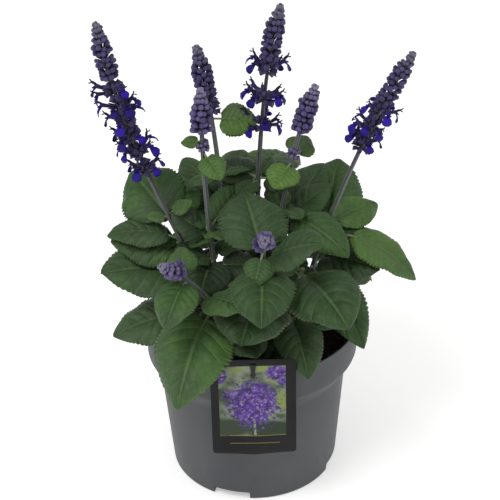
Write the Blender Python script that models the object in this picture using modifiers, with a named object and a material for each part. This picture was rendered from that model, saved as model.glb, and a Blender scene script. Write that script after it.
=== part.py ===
"""Potted sage: a nursery pot with its growing plant and its hang-on plant label.

The frame stands on the ground at the origin, on the pot's axis, +Z up. -Y is the front, where the
label hangs. Lengths are in metres. Every leaf is laid out on its own stem and then settles by small
turns until it is clear of everything that grows before it.
"""

from math import cos, pi, radians, sin, tau

import bmesh
import bpy
from mathutils import Matrix, Vector
from mathutils.bvhtree import BVHTree

MM = 0.001

# --- Pot ---------------------------------------------------------------------------------------
POT_HEIGHT = 150 * MM
RIM_RADIUS = 95 * MM
COLLAR_HEIGHT = 28 * MM          # near-upright band under the rim
COLLAR_TAPER = 1.2 * MM          # how much the band narrows downwards
SHOULDER_HEIGHT = 20 * MM        # rounded step from the band to the body
BODY_RADIUS = 83.5 * MM          # just under the shoulder
BASE_RADIUS = 75 * MM
BASE_CORNER = 2.5 * MM
POT_WALL = 1.5 * MM
POT_SIDES = 72
CHANNELS = 4                     # drainage channels under the floor, open through the wall
CHANNEL_HEIGHT = 8 * MM
CHANNEL_WIDTH = 34 * MM
CHANNEL_START = 32 * MM          # distance of a channel's blind end from the axis
CHANNEL_TURN = radians(-107)     # direction of the first channel, seen from above
DRAIN_RADIUS = 5 * MM
DRAIN_FROM_WALL = 14 * MM

# --- Soil and stems ----------------------------------------------------------------------------
HEADSPACE = 30 * MM              # rim to soil surface
SOCKET_DEPTH = 12 * MM           # hole in the soil that a stem's foot stands in
SOCKET_CLEARANCE = 0.8 * MM
STEM_RADIUS = 2.5 * MM
GAP = 0.3 * MM                   # between pieces that touch

# --- Plant label -------------------------------------------------------------------------------
CARD_WIDTH = 72 * MM
CARD_HEIGHT = 98 * MM
CARD_POINT = 2.5 * MM            # shallow point along the lower edge
CARD_ABOVE_RIM = 18.5 * MM
CARD_THICKNESS = 0.6 * MM
CARD_CORNER = 3.5 * MM
HOOK_WIDTH = 5 * MM
HOOK_THICKNESS = 0.8 * MM
HOOK_ABOVE_RIM = 14 * MM         # top of the hook, where it passes through the card
HOOK_FRONT_LEG = 14 * MM
HOOK_END_CLEARANCE = 4 * MM      # rear leg's end above the soil and above the band's foot

# --- Flower spikes -----------------------------------------------------------------------------
SPIKE_POINT_RADIUS = 1.5 * MM     # at the very tip
SPIKE_TIP_RADIUS = 3 * MM         # the bud cluster just under it
SPIKE_TAPER = 26 * MM            # length over which a tip swells to its full radius
WHORL_STEP_TIP = 4 * MM
WHORL_STEP_GROWTH = 0.55 * MM    # each whorl stands this much farther from the one above
WHORL_WAIST = 0.66               # radius between two whorls, as a share of the whorl's

# --- Leaves ------------------------------------------------------------------------------------
PETIOLE_RADIUS = 1.2 * MM
BLADE_THICKNESS = 1.0 * MM
MIDRIB_KEEL = 0.7 * MM           # how far the midrib stands out under the blade
SETTLE_TURN = radians(2.5)       # one settling step: a turn about the stem ...
SETTLE_LIFT = 2.5 * MM           # ... or a lift of the tip
SETTLE_RINGS = 6
SETTLE_SLIDES = (0, 4 * MM, -4 * MM, 8 * MM, -8 * MM)   # other places on the stem, tried next
CROWDED_SIZES = (1.0, 0.9, 0.8, 0.7, 0.6, 0.5)   # a leaf with no room at full size stays smaller

# Flowering stems: foot (x, y), knee and spike tip (x, y, height above the soil), the spike's length
# and its radius over the calyces, mm.
FLOWER_STEMS = {
    "flower_stem_1": ((-10, 0), (-105, 0, 194), (-118, 0, 312), 150, 9),
    "flower_stem_2": ((-18, 28), (-22, 44, 190), (-42, 50, 268), 62, 11),
    "flower_stem_3": ((-22, -8), (-40, -6, 140), (-37, -4, 254), 44, 11.5),
    "flower_stem_4": ((6, 28), (4, 40, 210), (30, 42, 306), 118, 9.5),
    "flower_stem_5": ((20, 12), (20, 20, 140), (58, 20, 243), 46, 11.5),
    "flower_stem_6": ((34, 0), (72, 8, 160), (137, 10, 275), 98, 9),
    "flower_stem_7": ((8, -15), (10, -25, 115), (12, -95, 163), 30, 9.5),
    "flower_stem_8": ((-14, -22), (-26, -40, 82), (-72, -90, 138), 30, 9.5),
}

# Leafy shoots: foot (x, y), knee and tip (x, y, height above the soil), mm.
LEAFY_SHOOTS = {
    "leafy_shoot_left": ((-34, -12), (-45, -25, 45), (-62, -38, 85)),
    "leafy_shoot_right": ((22, -22), (32, -32, 55), (44, -44, 104)),
    "leafy_shoot_back": ((0, 46), (0, 62, 70), (4, 84, 130)),
}

# Leaves: stem, height on it, direction seen from above (degrees, -90 is the front), reach and rise of
# the tip, width, arch (share of the length), petiole (share of the length), roll (degrees). Big
# leaves come first, because a later leaf settles around the ones before it.
LEAVES = [
    ("flower_stem_8", 58, -113, 84, -56, 66, 0.24, 0.24, -8),
    ("flower_stem_7", 112, -92, 76, -14, 54, 0.13, 0.16, 0),
    ("leafy_shoot_right", 98, -62, 76, -12, 62, 0.12, 0.10, 12),
    ("flower_stem_6", 108, -17, 82, -34, 44, 0.22, 0.30, 8),
    ("flower_stem_1", 76, -156, 88, 20, 62, 0.08, 0.08, -26),
    ("flower_stem_7", 118, -30, 56, 30, 46, 0.10, 0.10, 22),
    ("flower_stem_8", 112, -112, 44, -22, 36, 0.14, 0.10, -6),
    ("flower_stem_8", 84, -53, 58, 16, 38, 0.06, 0.12, 14),
    ("leafy_shoot_left", 52, -168, 72, -14, 50, 0.10, 0.16, -16),
    ("flower_stem_1", 112, -171, 62, 8, 34, 0.12, 0.14, -16),
    ("flower_stem_6", 85, -31, 62, 5, 54, 0.12, 0.12, 28),
    ("flower_stem_5", 122, -42, 76, -16, 38, 0.14, 0.22, 20),
    ("flower_stem_1", 96, -176, 66, 10, 48, 0.12, 0.14, -30),
    ("flower_stem_7", 124, 104, 62, 28, 58, 0.06, 0.10, 0),
    ("flower_stem_3", 104, 166, 44, 12, 36, 0.08, 0.12, -20),
    ("flower_stem_3", 92, -172, 50, 6, 46, 0.10, 0.12, -26),
    ("flower_stem_3", 96, -106, 44, -16, 42, 0.14, 0.12, -4),
    ("flower_stem_1", 122, 128, 60, 14, 58, 0.10, 0.12, -30),
    ("flower_stem_1", 120, 96, 66, 18, 52, 0.08, 0.16, -6),
    ("flower_stem_1", 126, 40, 44, 18, 36, 0.06, 0.10, 20),
    ("flower_stem_6", 116, 32, 54, 4, 38, 0.12, 0.14, 16),
    ("flower_stem_6", 100, 78, 84, 40, 58, 0.06, 0.14, 0),
    ("flower_stem_5", 104, 54, 72, 26, 44, 0.06, 0.16, 12),
    ("flower_stem_5", 112, 34, 56, 16, 34, 0.06, 0.14, 16),
    ("flower_stem_2", 120, 128, 60, 22, 42, 0.06, 0.14, 0),
    ("flower_stem_2", 130, 70, 58, 16, 42, 0.08, 0.14, 0),
    ("flower_stem_3", 124, 50, 50, 20, 36, 0.06, 0.12, 14),
    ("flower_stem_7", 70, -103, 84, 2, 64, 0.10, 0.16, -6),
    ("leafy_shoot_right", 50, -88, 70, -20, 42, 0.18, 0.20, 0),
    ("flower_stem_6", 66, -50, 70, -44, 42, 0.26, 0.26, 30),
    ("flower_stem_8", 44, -80, 70, 4, 42, 0.14, 0.24, 0),
    ("leafy_shoot_back", 124, 62, 78, -16, 54, 0.14, 0.14, 0),
    ("leafy_shoot_back", 112, 128, 82, -14, 56, 0.14, 0.14, 0),
    ("leafy_shoot_back", 92, 20, 80, -8, 52, 0.14, 0.16, 0),
    ("leafy_shoot_back", 62, 92, 78, -48, 56, 0.26, 0.22, 0),
    ("leafy_shoot_back", 72, 170, 80, -12, 52, 0.14, 0.16, 0),
    ("flower_stem_6", 50, 44, 88, -26, 52, 0.22, 0.24, 0),
]

SOIL_TOP = POT_HEIGHT - HEADSPACE
BLADE_STATIONS = (0.05, 0.15, 0.30, 0.47, 0.64, 0.80, 0.93)
RING_SIDES = 8


# --- Scene, materials and small helpers ----------------------------------------------------------
for old in list(bpy.data.objects):
    bpy.data.objects.remove(old)

parts = bpy.data.collections.new("potted_sage")
cutters = bpy.data.collections.new("cutters")
for collection in (parts, cutters):
    bpy.context.scene.collection.children.link(collection)


def make_material(name, colour, roughness, metallic=0.0):
    material = bpy.data.materials.new(name)
    material.use_nodes = True
    shader = material.node_tree.nodes["Principled BSDF"]
    shader.inputs["Base Color"].default_value = (*colour, 1.0)
    shader.inputs["Roughness"].default_value = roughness
    shader.inputs["Metallic"].default_value = metallic
    return material


POT_PLASTIC = make_material("pot_plastic", (0.085, 0.092, 0.098), 0.55)
SOIL = make_material("potting_soil", (0.018, 0.013, 0.010), 0.95)
CARD = make_material("label_card", (0.028, 0.028, 0.030), 0.35)
HOOK = make_material("hook_plastic", (0.012, 0.012, 0.013), 0.45)
STEM = make_material("stem", (0.115, 0.125, 0.095), 0.60)
FLOWER = make_material("calyx", (0.055, 0.038, 0.115), 0.80)
LEAF = make_material("leaf", (0.050, 0.105, 0.040), 0.60)


def add_object(name, mesh, material):
    piece = bpy.data.objects.new(name, mesh)
    parts.objects.link(piece)
    if material:
        mesh.materials.append(material)
    return piece


def as_cutter(piece):
    for collection in piece.users_collection:
        collection.objects.unlink(piece)
    cutters.objects.link(piece)
    piece.hide_render = True
    piece.display_type = "WIRE"
    return piece


def turned(name, profile, material=None, sides=POT_SIDES):
    """A body turned about Z, from (radius, height) points that run down its outer side."""
    mesh = bpy.data.meshes.new(name)
    points = [(radius, 0.0, height) for radius, height in profile]
    mesh.from_pydata(points, [(i, i + 1) for i in range(len(points) - 1)], [])
    piece = add_object(name, mesh, material)
    screw = piece.modifiers.new("turn", "SCREW")
    screw.steps = screw.render_steps = sides
    screw.use_merge_vertices = True
    screw.merge_threshold = 0.00001
    return piece


def cut(piece, cutter):
    boolean = piece.modifiers.new(cutter.name, "BOOLEAN")
    boolean.operation = "DIFFERENCE"
    boolean.object = cutter
    boolean.solver = "EXACT"


def smooth_step(share):
    return share * share * (3 - 2 * share)


def bezier(points, share):
    """Point on a Bezier curve through its control points, by repeated halving of the polygon."""
    points = list(points)
    while len(points) > 1:
        points = [a.lerp(b, share) for a, b in zip(points, points[1:])]
    return points[0]


# --- Pot -----------------------------------------------------------------------------------------
def wall_profile(inset):
    """(radius, height) points down the pot's outer side, moved inwards by inset."""
    collar_foot = POT_HEIGHT - COLLAR_HEIGHT
    points = [(RIM_RADIUS - inset, POT_HEIGHT)]
    steps = 6
    for step in range(steps + 1):
        share = step / steps
        ease = smooth_step(share)
        radius = (RIM_RADIUS - COLLAR_TAPER) * (1 - ease) + BODY_RADIUS * ease
        points.append((radius - inset, collar_foot - SHOULDER_HEIGHT * share))
    return points


def base_radius_at(height, inset):
    """Radius of the tapering body at a height below the shoulder."""
    top = POT_HEIGHT - COLLAR_HEIGHT - SHOULDER_HEIGHT
    return BASE_RADIUS + (BODY_RADIUS - BASE_RADIUS) * height / top - inset


def channel_boxes(name, grow):
    """The four channels under the floor, as boxes grown by the same amount on every side."""
    shape = bmesh.new()
    length = RIM_RADIUS - CHANNEL_START + grow
    height = 2 * (CHANNEL_HEIGHT + grow)
    for index in range(CHANNELS):
        turn = Matrix.Rotation(CHANNEL_TURN + tau * index / CHANNELS, 4, "Z")
        place = turn @ Matrix.Translation((CHANNEL_START - grow + length / 2, 0, 0))
        size = Matrix.Diagonal((length, CHANNEL_WIDTH + 2 * grow, height, 1))
        bmesh.ops.create_cube(shape, size=1.0, matrix=place @ size)
    mesh = bpy.data.meshes.new(name)
    shape.to_mesh(mesh)
    shape.free()
    return as_cutter(add_object(name, mesh, None))


def build_pot():
    floor_corner = [(base_radius_at(BASE_CORNER, 0), BASE_CORNER)]
    for step in range(1, 4):
        turn = radians(30 * step)
        radius = BASE_RADIUS - BASE_CORNER * (1 - cos(turn))
        floor_corner.append((radius, BASE_CORNER * (1 - sin(turn))))
    outer = [(0, POT_HEIGHT)] + wall_profile(0) + floor_corner + [(0, 0)]
    pot = turned("pot", outer, POT_PLASTIC)

    floor_line = (base_radius_at(POT_WALL, POT_WALL), POT_WALL)
    above = [(0, POT_HEIGHT + POT_WALL), (RIM_RADIUS - POT_WALL, POT_HEIGHT + POT_WALL)]
    inside = turned("pot_inside", above + wall_profile(POT_WALL) + [floor_line, (0, POT_WALL)])
    as_cutter(inside)
    cut(inside, channel_boxes("channel_roofs", POT_WALL))
    cut(pot, channel_boxes("channels", 0))
    cut(pot, inside)

    holes = bmesh.new()
    for index in range(CHANNELS):
        turn = Matrix.Rotation(CHANNEL_TURN + tau * index / CHANNELS, 4, "Z")
        place = turn @ Matrix.Translation((BASE_RADIUS - DRAIN_FROM_WALL, 0, CHANNEL_HEIGHT))
        bmesh.ops.create_cone(holes, cap_ends=True, segments=20, radius1=DRAIN_RADIUS,
                              radius2=DRAIN_RADIUS, depth=4 * POT_WALL, matrix=place)
    mesh = bpy.data.meshes.new("drain_holes")
    holes.to_mesh(mesh)
    holes.free()
    cut(pot, as_cutter(add_object("drain_holes", mesh, None)))
    return pot


# --- Soil ----------------------------------------------------------------------------------------
def build_soil():
    """Compost that fills the pot up to the headspace, with a socket for each stem's foot."""
    inset = POT_WALL + GAP
    rim_side = [point for point in wall_profile(inset) if point[1] < SOIL_TOP - GAP]
    above = [point for point in wall_profile(inset) if point[1] >= SOIL_TOP - GAP][-1]
    share = (above[1] - SOIL_TOP) / (above[1] - rim_side[0][1])
    edge = above[0] + (rim_side[0][0] - above[0]) * share
    floor = POT_WALL + GAP
    profile = [(0, SOIL_TOP), (edge, SOIL_TOP)] + rim_side
    profile += [(base_radius_at(floor, inset), floor), (0, floor)]
    soil = turned("soil", profile, SOIL)
    cut(soil, channel_boxes("channel_room", inset))

    sockets = bmesh.new()
    for curve in STEM_CURVES.values():
        foot = curve[0]
        place = Matrix.Translation((foot.x, foot.y, SOIL_TOP))
        bmesh.ops.create_cone(sockets, cap_ends=True, segments=12, matrix=place,
                              radius1=STEM_RADIUS + SOCKET_CLEARANCE,
                              radius2=STEM_RADIUS + SOCKET_CLEARANCE, depth=2 * SOCKET_DEPTH)
    mesh = bpy.data.meshes.new("stem_sockets")
    sockets.to_mesh(mesh)
    sockets.free()
    cut(soil, as_cutter(add_object("stem_sockets", mesh, None)))
    return soil


# --- Plant label ---------------------------------------------------------------------------------
CARD_BACK = -(RIM_RADIUS + GAP)
CARD_FRONT = CARD_BACK - CARD_THICKNESS
CARD_TOP = POT_HEIGHT + CARD_ABOVE_RIM


def build_card():
    """Flat card with rounded corners and a slot, standing against the collar at the front."""
    half = CARD_WIDTH / 2
    low = CARD_TOP - CARD_HEIGHT
    outline = []
    corners = (
        (half, CARD_TOP, 0), (-half, CARD_TOP, 90), (-half, low, 180), (half, low, 270),
    )
    for x, z, start in corners:
        centre_x = x - CARD_CORNER * (1 if x > 0 else -1)
        centre_z = z - CARD_CORNER * (1 if z == CARD_TOP else -1)
        for step in range(4):
            turn = radians(start + 30 * step)
            point = (centre_x + CARD_CORNER * cos(turn), centre_z + CARD_CORNER * sin(turn))
            outline.append(point)
        if start == 180:
            outline.append((0.0, low - CARD_POINT))
    shape = bmesh.new()
    front = [shape.verts.new((x, CARD_FRONT, z)) for x, z in outline]
    face = shape.faces.new(front)
    extruded = bmesh.ops.extrude_face_region(shape, geom=[face])
    back = [item for item in extruded["geom"] if isinstance(item, bmesh.types.BMVert)]
    bmesh.ops.translate(shape, verts=back, vec=(0, CARD_THICKNESS, 0))
    bmesh.ops.recalc_face_normals(shape, faces=shape.faces)
    mesh = bpy.data.meshes.new("label_card")
    shape.to_mesh(mesh)
    shape.free()
    card = add_object("label_card", mesh, CARD)

    slot = bmesh.new()
    room = 2 * (HOOK_THICKNESS / 2 + GAP)
    size = Matrix.Diagonal((HOOK_WIDTH + 2 * GAP, 10 * CARD_THICKNESS, room, 1))
    height = POT_HEIGHT + HOOK_ABOVE_RIM - HOOK_THICKNESS / 2
    bmesh.ops.create_cube(slot, matrix=Matrix.Translation((0, CARD_BACK, height)) @ size)
    mesh = bpy.data.meshes.new("card_slot")
    slot.to_mesh(mesh)
    slot.free()
    cut(card, as_cutter(add_object("card_slot", mesh, None)))
    return card


def build_hook():
    """Bent strip: a leg in front of the card, through its slot, over the rim and down inside."""
    front = CARD_FRONT - GAP
    rear = -(RIM_RADIUS - COLLAR_TAPER - POT_WALL - GAP)
    top = POT_HEIGHT + HOOK_ABOVE_RIM
    rear_end = max(POT_HEIGHT - COLLAR_HEIGHT, SOIL_TOP) + HOOK_END_CLEARANCE
    thick = HOOK_THICKNESS
    section = (
        (front - thick, top - HOOK_FRONT_LEG), (front - thick, top), (rear + thick, top),
        (rear + thick, rear_end), (rear, rear_end),
        (rear, top - thick), (front, top - thick), (front, top - HOOK_FRONT_LEG),
    )
    shape = bmesh.new()
    ring = [shape.verts.new((-HOOK_WIDTH / 2, y, z)) for y, z in section]
    face = shape.faces.new(ring)
    extruded = bmesh.ops.extrude_face_region(shape, geom=[face])
    moved = [item for item in extruded["geom"] if isinstance(item, bmesh.types.BMVert)]
    bmesh.ops.translate(shape, verts=moved, vec=(HOOK_WIDTH, 0, 0))
    bmesh.ops.recalc_face_normals(shape, faces=shape.faces)
    mesh = bpy.data.meshes.new("label_hook")
    shape.to_mesh(mesh)
    shape.free()
    return add_object("label_hook", mesh, HOOK)


# --- Stems and flower spikes -----------------------------------------------------------------------
def stem_curve(foot, knee, tip):
    """Foot, knee and tip as points in the pot's frame."""
    points = (Vector((*foot, 0)), Vector(knee), Vector(tip))
    return [point * MM + Vector((0, 0, SOIL_TOP)) for point in points]


STEM_CURVES = {name: stem_curve(*row[:3]) for name, row in FLOWER_STEMS.items()}
STEM_CURVES |= {name: stem_curve(*row) for name, row in LEAFY_SHOOTS.items()}


def share_at_length(curve, length_from_tip):
    """Where on the curve a point stands that far from the tip, measured along the curve."""
    steps = 200
    walked = 0.0
    last = curve[-1]
    for step in range(steps - 1, -1, -1):
        point = bezier(curve, step / steps)
        stride = (point - last).length
        if walked + stride >= length_from_tip:
            return (step + 1 - (length_from_tip - walked) / stride) / steps
        walked += stride
        last = point
    return 0.0


def tube(name, points, radii, material):
    """A round tube along straight steps, with a radius at each point."""
    data = bpy.data.curves.new(name, "CURVE")
    data.dimensions = "3D"
    data.bevel_depth = 1.0
    data.bevel_resolution = 2
    data.use_fill_caps = True
    data.render_resolution_u = 0
    spline = data.splines.new("POLY")
    spline.points.add(len(points) - 1)
    for slot, point, radius in zip(spline.points, points, radii):
        slot.co = (*point, 1)
        slot.radius = radius
    piece = bpy.data.objects.new(name, data)
    parts.objects.link(piece)
    data.materials.append(material)
    return piece


def build_stem(name):
    """Foot in its socket, then along the stem's curve to the spike, or to the shoot's tip."""
    curve = STEM_CURVES[name]
    end = 1.0
    if name in FLOWER_STEMS:
        end = share_at_length(curve, FLOWER_STEMS[name][3] * MM)
    foot = curve[0]
    below = SOCKET_DEPTH - 2 * GAP
    points = [foot - Vector((0, 0, below)), foot + Vector((0, 0, 2 * GAP))]
    steps = 9
    points += [bezier(curve, end * step / steps) for step in range(1, steps + 1)]
    radii = [STEM_RADIUS] * 2
    radii += [STEM_RADIUS * (1 - 0.25 * step / steps) for step in range(1, steps + 1)]
    return tube(name, points, radii, STEM)


def whorl_distances(length):
    """Distances of the whorls from a spike's tip, closest together at the tip."""
    distances = []
    distance = WHORL_STEP_TIP
    step = WHORL_STEP_TIP
    while distance < length - step / 2:
        distances.append(distance)
        step += WHORL_STEP_GROWTH
        distance += step
    return distances


def spike_radius(distance, full):
    swell = smooth_step(min(1.0, distance / SPIKE_TAPER))
    return SPIKE_TIP_RADIUS + (full - SPIKE_TIP_RADIUS) * swell


def build_spike(name, stem):
    """Outer shape of the whorls of calyces around the stem's upper end."""
    curve = STEM_CURVES[stem]
    length = FLOWER_STEMS[stem][3] * MM
    full = FLOWER_STEMS[stem][4] * MM
    whorls = whorl_distances(length)
    rows = [(0.0, SPIKE_POINT_RADIUS), (whorls[0], spike_radius(whorls[0], full))]
    for above, below in zip(whorls, whorls[1:]):
        middle = (above + below) / 2
        rows.append((middle, spike_radius(middle, full) * WHORL_WAIST))
        rows.append((below, spike_radius(below, full)))
    rows.append((length - 2 * GAP, STEM_RADIUS))
    points = [bezier(curve, share_at_length(curve, distance)) for distance, _ in rows]
    return tube(name, points[::-1], [radius for _, radius in rows][::-1], FLOWER)


# --- Leaves ----------------------------------------------------------------------------------------
def point_on_stem(curve, height):
    """The point of a stem at a height above the soil, and the stem's direction there."""
    low, high = 0.0, 1.0
    for _ in range(30):
        middle = (low + high) / 2
        if bezier(curve, middle).z - SOIL_TOP < height:
            low = middle
        else:
            high = middle
    return bezier(curve, low), (bezier(curve, low + 0.01) - bezier(curve, low - 0.01)).normalized()


def blade_half_width(share, width):
    """Half width of an ovate blade, at a share of its length from its base."""
    widest = 0.36
    base_power = 0.46
    tip_power = base_power * (1 - widest) / widest
    full = widest ** base_power * (1 - widest) ** tip_power
    return width / 2 * share ** base_power * (1 - share) ** tip_power / full


def leaf_rings(row, turn, lift, slide, size, margin):
    """Rings of eight points from the petiole's cut end to the blade's tip, and the tip."""
    stem, height, direction, reach, rise, width, arch, petiole, roll = row
    reach, rise, width = reach * size, rise * size, width * size
    origin, axis = point_on_stem(STEM_CURVES[stem], height * MM + slide)
    angle = radians(direction) + turn
    ahead = Vector((cos(angle), sin(angle), 0))
    off_stem = (ahead - axis * ahead.dot(axis)).normalized()
    start = origin + off_stem * (STEM_RADIUS + GAP)
    tip = origin + ahead * reach * MM + Vector((0, 0, rise * MM + lift))
    chord = tip - start
    bulge = Vector((0, 0, arch * chord.length))
    controls = (start, start + chord * 0.3 + bulge, start + chord * 0.7 + bulge, tip)
    side = ahead.cross(Vector((0, 0, 1)))

    stations = [(0.0, None), (petiole * 0.7, None)]
    stations += [(petiole + (1 - petiole) * share, share) for share in BLADE_STATIONS]
    rings = []
    for along, share in stations:
        centre = bezier(controls, along)
        if along == 0.0:
            forward = off_stem
        else:
            forward = (bezier(controls, along + 0.01) - bezier(controls, along - 0.01)).normalized()
        twist = Matrix.Rotation(radians(roll) * smooth_step(min(1.0, along * 2)), 3, forward)
        across = twist @ side
        normal = across.cross(forward).normalized()
        half = PETIOLE_RADIUS if share is None else blade_half_width(share, width * MM)
        thick = PETIOLE_RADIUS if share is None else BLADE_THICKNESS / 2
        ring = []
        for corner in range(RING_SIDES):
            turned_by = tau * corner / RING_SIDES
            out, up = cos(turned_by), sin(turned_by)
            level = up * (thick + margin)
            if share is not None:
                level += blade_level(abs(out), half)
                if corner == 6:
                    level -= MIDRIB_KEEL
            ring.append(centre + across * out * (half + margin) + normal * level)
        rings.append(ring)
    return rings, tip


def blade_level(out, half):
    """How high the blade stands over its midrib: each half swells, then its margin droops."""
    return half * (0.42 * out * (1 - out) * 2 - 0.10 * out)


def leaf_mesh(row, turn, lift, slide, size, margin=0.0):
    """Points and faces of a leaf: a loft of its rings, closed at the petiole and at the tip.

    Each side of the blade is split along the same diagonals above and below, so the thin blade keeps
    its thickness where it twists.
    """
    rings, tip = leaf_rings(row, turn, lift, slide, size, margin)
    points = [point for ring in rings for point in ring] + [tip]
    faces = [tuple(range(RING_SIDES))]
    for index in range(len(rings) - 1):
        first = index * RING_SIDES
        for corner in range(RING_SIDES):
            near, near_next = first + corner, first + (corner + 1) % RING_SIDES
            far, far_next = near + RING_SIDES, near_next + RING_SIDES
            if corner % 4 < 2:
                faces += [(near_next, near, far_next), (near, far, far_next)]
            else:
                faces += [(near_next, near, far), (near_next, far, far_next)]
    last = (len(rings) - 1) * RING_SIDES
    for corner in range(RING_SIDES):
        faces.append((last + (corner + 1) % RING_SIDES, last + corner, len(points) - 1))
    return points, faces


def settling_steps():
    """Turns, lifts, slides along the stem and sizes to try, from none at all outwards."""
    for size in CROWDED_SIZES:
        for slide in SETTLE_SLIDES:
            yield 0.0, 0.0, slide, size
            for ring in range(1, SETTLE_RINGS + 1):
                for step in range(8):
                    angle = tau * step / 8 + pi / 2
                    turn = ring * SETTLE_TURN * cos(angle)
                    yield turn, ring * SETTLE_LIFT * sin(angle), slide, size


def settled_leaf(row, neighbours):
    """The leaf's mesh at the first try that is clear of its neighbours."""
    for place in settling_steps():
        points, faces = leaf_mesh(row, *place, margin=GAP)
        room = BVHTree.FromPolygons(points, faces)
        if not any(room.overlap(other) for other in neighbours):
            return leaf_mesh(row, *place)
    raise ValueError(f"no room for the leaf at {row[:3]}")


def build_leaves(others):
    bpy.context.view_layer.update()
    graph = bpy.context.evaluated_depsgraph_get()
    neighbours = []
    for other in others:
        mesh = bpy.data.meshes.new_from_object(other.evaluated_get(graph))
        neighbours.append(BVHTree.FromPolygons([vertex.co for vertex in mesh.vertices],
                                               [face.vertices[:] for face in mesh.polygons]))
        bpy.data.meshes.remove(mesh)
    for number, row in enumerate(LEAVES, start=1):
        points, faces = settled_leaf(row, neighbours)
        neighbours.append(BVHTree.FromPolygons(points, faces))
        mesh = bpy.data.meshes.new(f"leaf_{number:02d}")
        mesh.from_pydata(points, [], faces)
        mesh.shade_smooth()
        add_object(mesh.name, mesh, LEAF)


# --- Build ------------------------------------------------------------------------------------------
solids = [build_pot(), build_soil(), build_card(), build_hook()]
for stem_name in STEM_CURVES:
    solids.append(build_stem(stem_name))
for number, stem_name in enumerate(FLOWER_STEMS, start=1):
    solids.append(build_spike(f"flower_spike_{number}", stem_name))
build_leaves(solids)
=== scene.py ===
from math import cos, pi, radians, sin, tau

import bmesh
import bpy
import numpy as np
from mathutils import Matrix, Vector, noise


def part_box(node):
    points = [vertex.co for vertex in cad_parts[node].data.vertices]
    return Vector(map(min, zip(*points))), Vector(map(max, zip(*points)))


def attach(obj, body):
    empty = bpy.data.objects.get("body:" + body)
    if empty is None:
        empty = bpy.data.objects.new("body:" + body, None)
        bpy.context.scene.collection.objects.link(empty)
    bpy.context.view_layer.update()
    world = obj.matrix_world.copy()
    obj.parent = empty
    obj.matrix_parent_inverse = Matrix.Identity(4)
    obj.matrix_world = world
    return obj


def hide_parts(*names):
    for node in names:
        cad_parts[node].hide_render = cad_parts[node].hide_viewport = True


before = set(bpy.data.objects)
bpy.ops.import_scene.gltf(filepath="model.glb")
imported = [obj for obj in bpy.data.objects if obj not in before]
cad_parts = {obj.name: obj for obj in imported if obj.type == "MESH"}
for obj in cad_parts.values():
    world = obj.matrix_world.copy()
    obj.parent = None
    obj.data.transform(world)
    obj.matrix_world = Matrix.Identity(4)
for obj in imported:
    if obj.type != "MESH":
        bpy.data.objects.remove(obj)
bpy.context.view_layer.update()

scene = bpy.context.scene
scene.view_settings.view_transform = "Standard"
MM = 0.001


# --- Bench and daylight -------------------------------------------------------------------------
# The pot stands on a plain pale floor under a white sky. One large soft panel hangs above on the
# left and a weaker one on the right.
def paint(red, green, blue):
    """A colour-chart value, 0 to 255, as the linear colour that a shader takes."""
    shares = [channel / 255 for channel in (red, green, blue)]
    linear = [s / 12.92 if s <= 0.04045 else ((s + 0.055) / 1.055) ** 2.4 for s in shares]
    return (*linear, 1.0)


def new_material(name, colour=None, **values):
    material = bpy.data.materials.new(name)
    material.use_nodes = True
    shader = material.node_tree.nodes["Principled BSDF"]
    if colour:
        shader.inputs["Base Color"].default_value = colour
    for socket, value in values.items():
        shader.inputs[socket.replace("_", " ")].default_value = value
    return material, material.node_tree, shader


def mesh_piece(name, points, faces, materials=()):
    mesh = bpy.data.meshes.new(name)
    mesh.from_pydata(points, [], faces)
    piece = bpy.data.objects.new(name, mesh)
    scene.collection.objects.link(piece)
    for material in materials:
        mesh.materials.append(material)
    return piece


FLOOR_HALF = 6.0
FLOOR_GLOW = 0.38
SKY_STRENGTH = 0.58
floor_paint, _, _ = new_material("pale_floor", paint(250, 250, 250), Roughness=0.95,
                                 Emission_Color=(1, 1, 1, 1), Emission_Strength=FLOOR_GLOW)
corners = [(-FLOOR_HALF, -FLOOR_HALF, 0), (FLOOR_HALF, -FLOOR_HALF, 0),
           (FLOOR_HALF, FLOOR_HALF, 0), (-FLOOR_HALF, FLOOR_HALF, 0)]
floor = mesh_piece("floor", corners, [(0, 1, 2, 3)], [floor_paint])

world = bpy.data.worlds.new("white_sky")
scene.world = world
world.use_nodes = True
sky = world.node_tree.nodes["Background"]
sky.inputs["Color"].default_value = (1.0, 0.995, 0.985, 1.0)
sky.inputs["Strength"].default_value = SKY_STRENGTH


def soft_panel(name, place, width, energy, aim=(0, 0, 0.2)):
    """A square area light that faces the middle of the plant."""
    light = bpy.data.lights.new(name, "AREA")
    light.size = width
    light.energy = energy
    panel = bpy.data.objects.new(name, light)
    turn = (Vector(aim) - Vector(place)).to_track_quat("-Z", "Y")
    panel.matrix_world = Matrix.Translation(place) @ turn.to_matrix().to_4x4()
    scene.collection.objects.link(panel)


soft_panel("panel_left", (-0.9, -0.9, 1.9), 0.9, 17)
soft_panel("panel_right", (1.3, -0.5, 1.2), 0.8, 4)

EYE_DISTANCE = 1.3
EYE_DOWN = radians(31.4)
EYE_AIM_HEIGHT = 0.2166
EYE_SIDEWAYS = radians(-1.35)
EYE_LENS = 108
eye_data = bpy.data.cameras.new("eye")
eye_data.sensor_width = 36
eye_data.lens = EYE_LENS
eye = bpy.data.objects.new("eye", eye_data)
eye_place = Vector((0, -EYE_DISTANCE * cos(EYE_DOWN),
                    EYE_AIM_HEIGHT + EYE_DISTANCE * sin(EYE_DOWN)))
eye_turn = Matrix.Rotation(pi / 2 - EYE_DOWN, 4, "X") @ Matrix.Rotation(EYE_SIDEWAYS, 4, "Z")
eye.matrix_world = Matrix.Translation(eye_place) @ eye_turn
scene.collection.objects.link(eye)
scene.camera = eye


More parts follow.
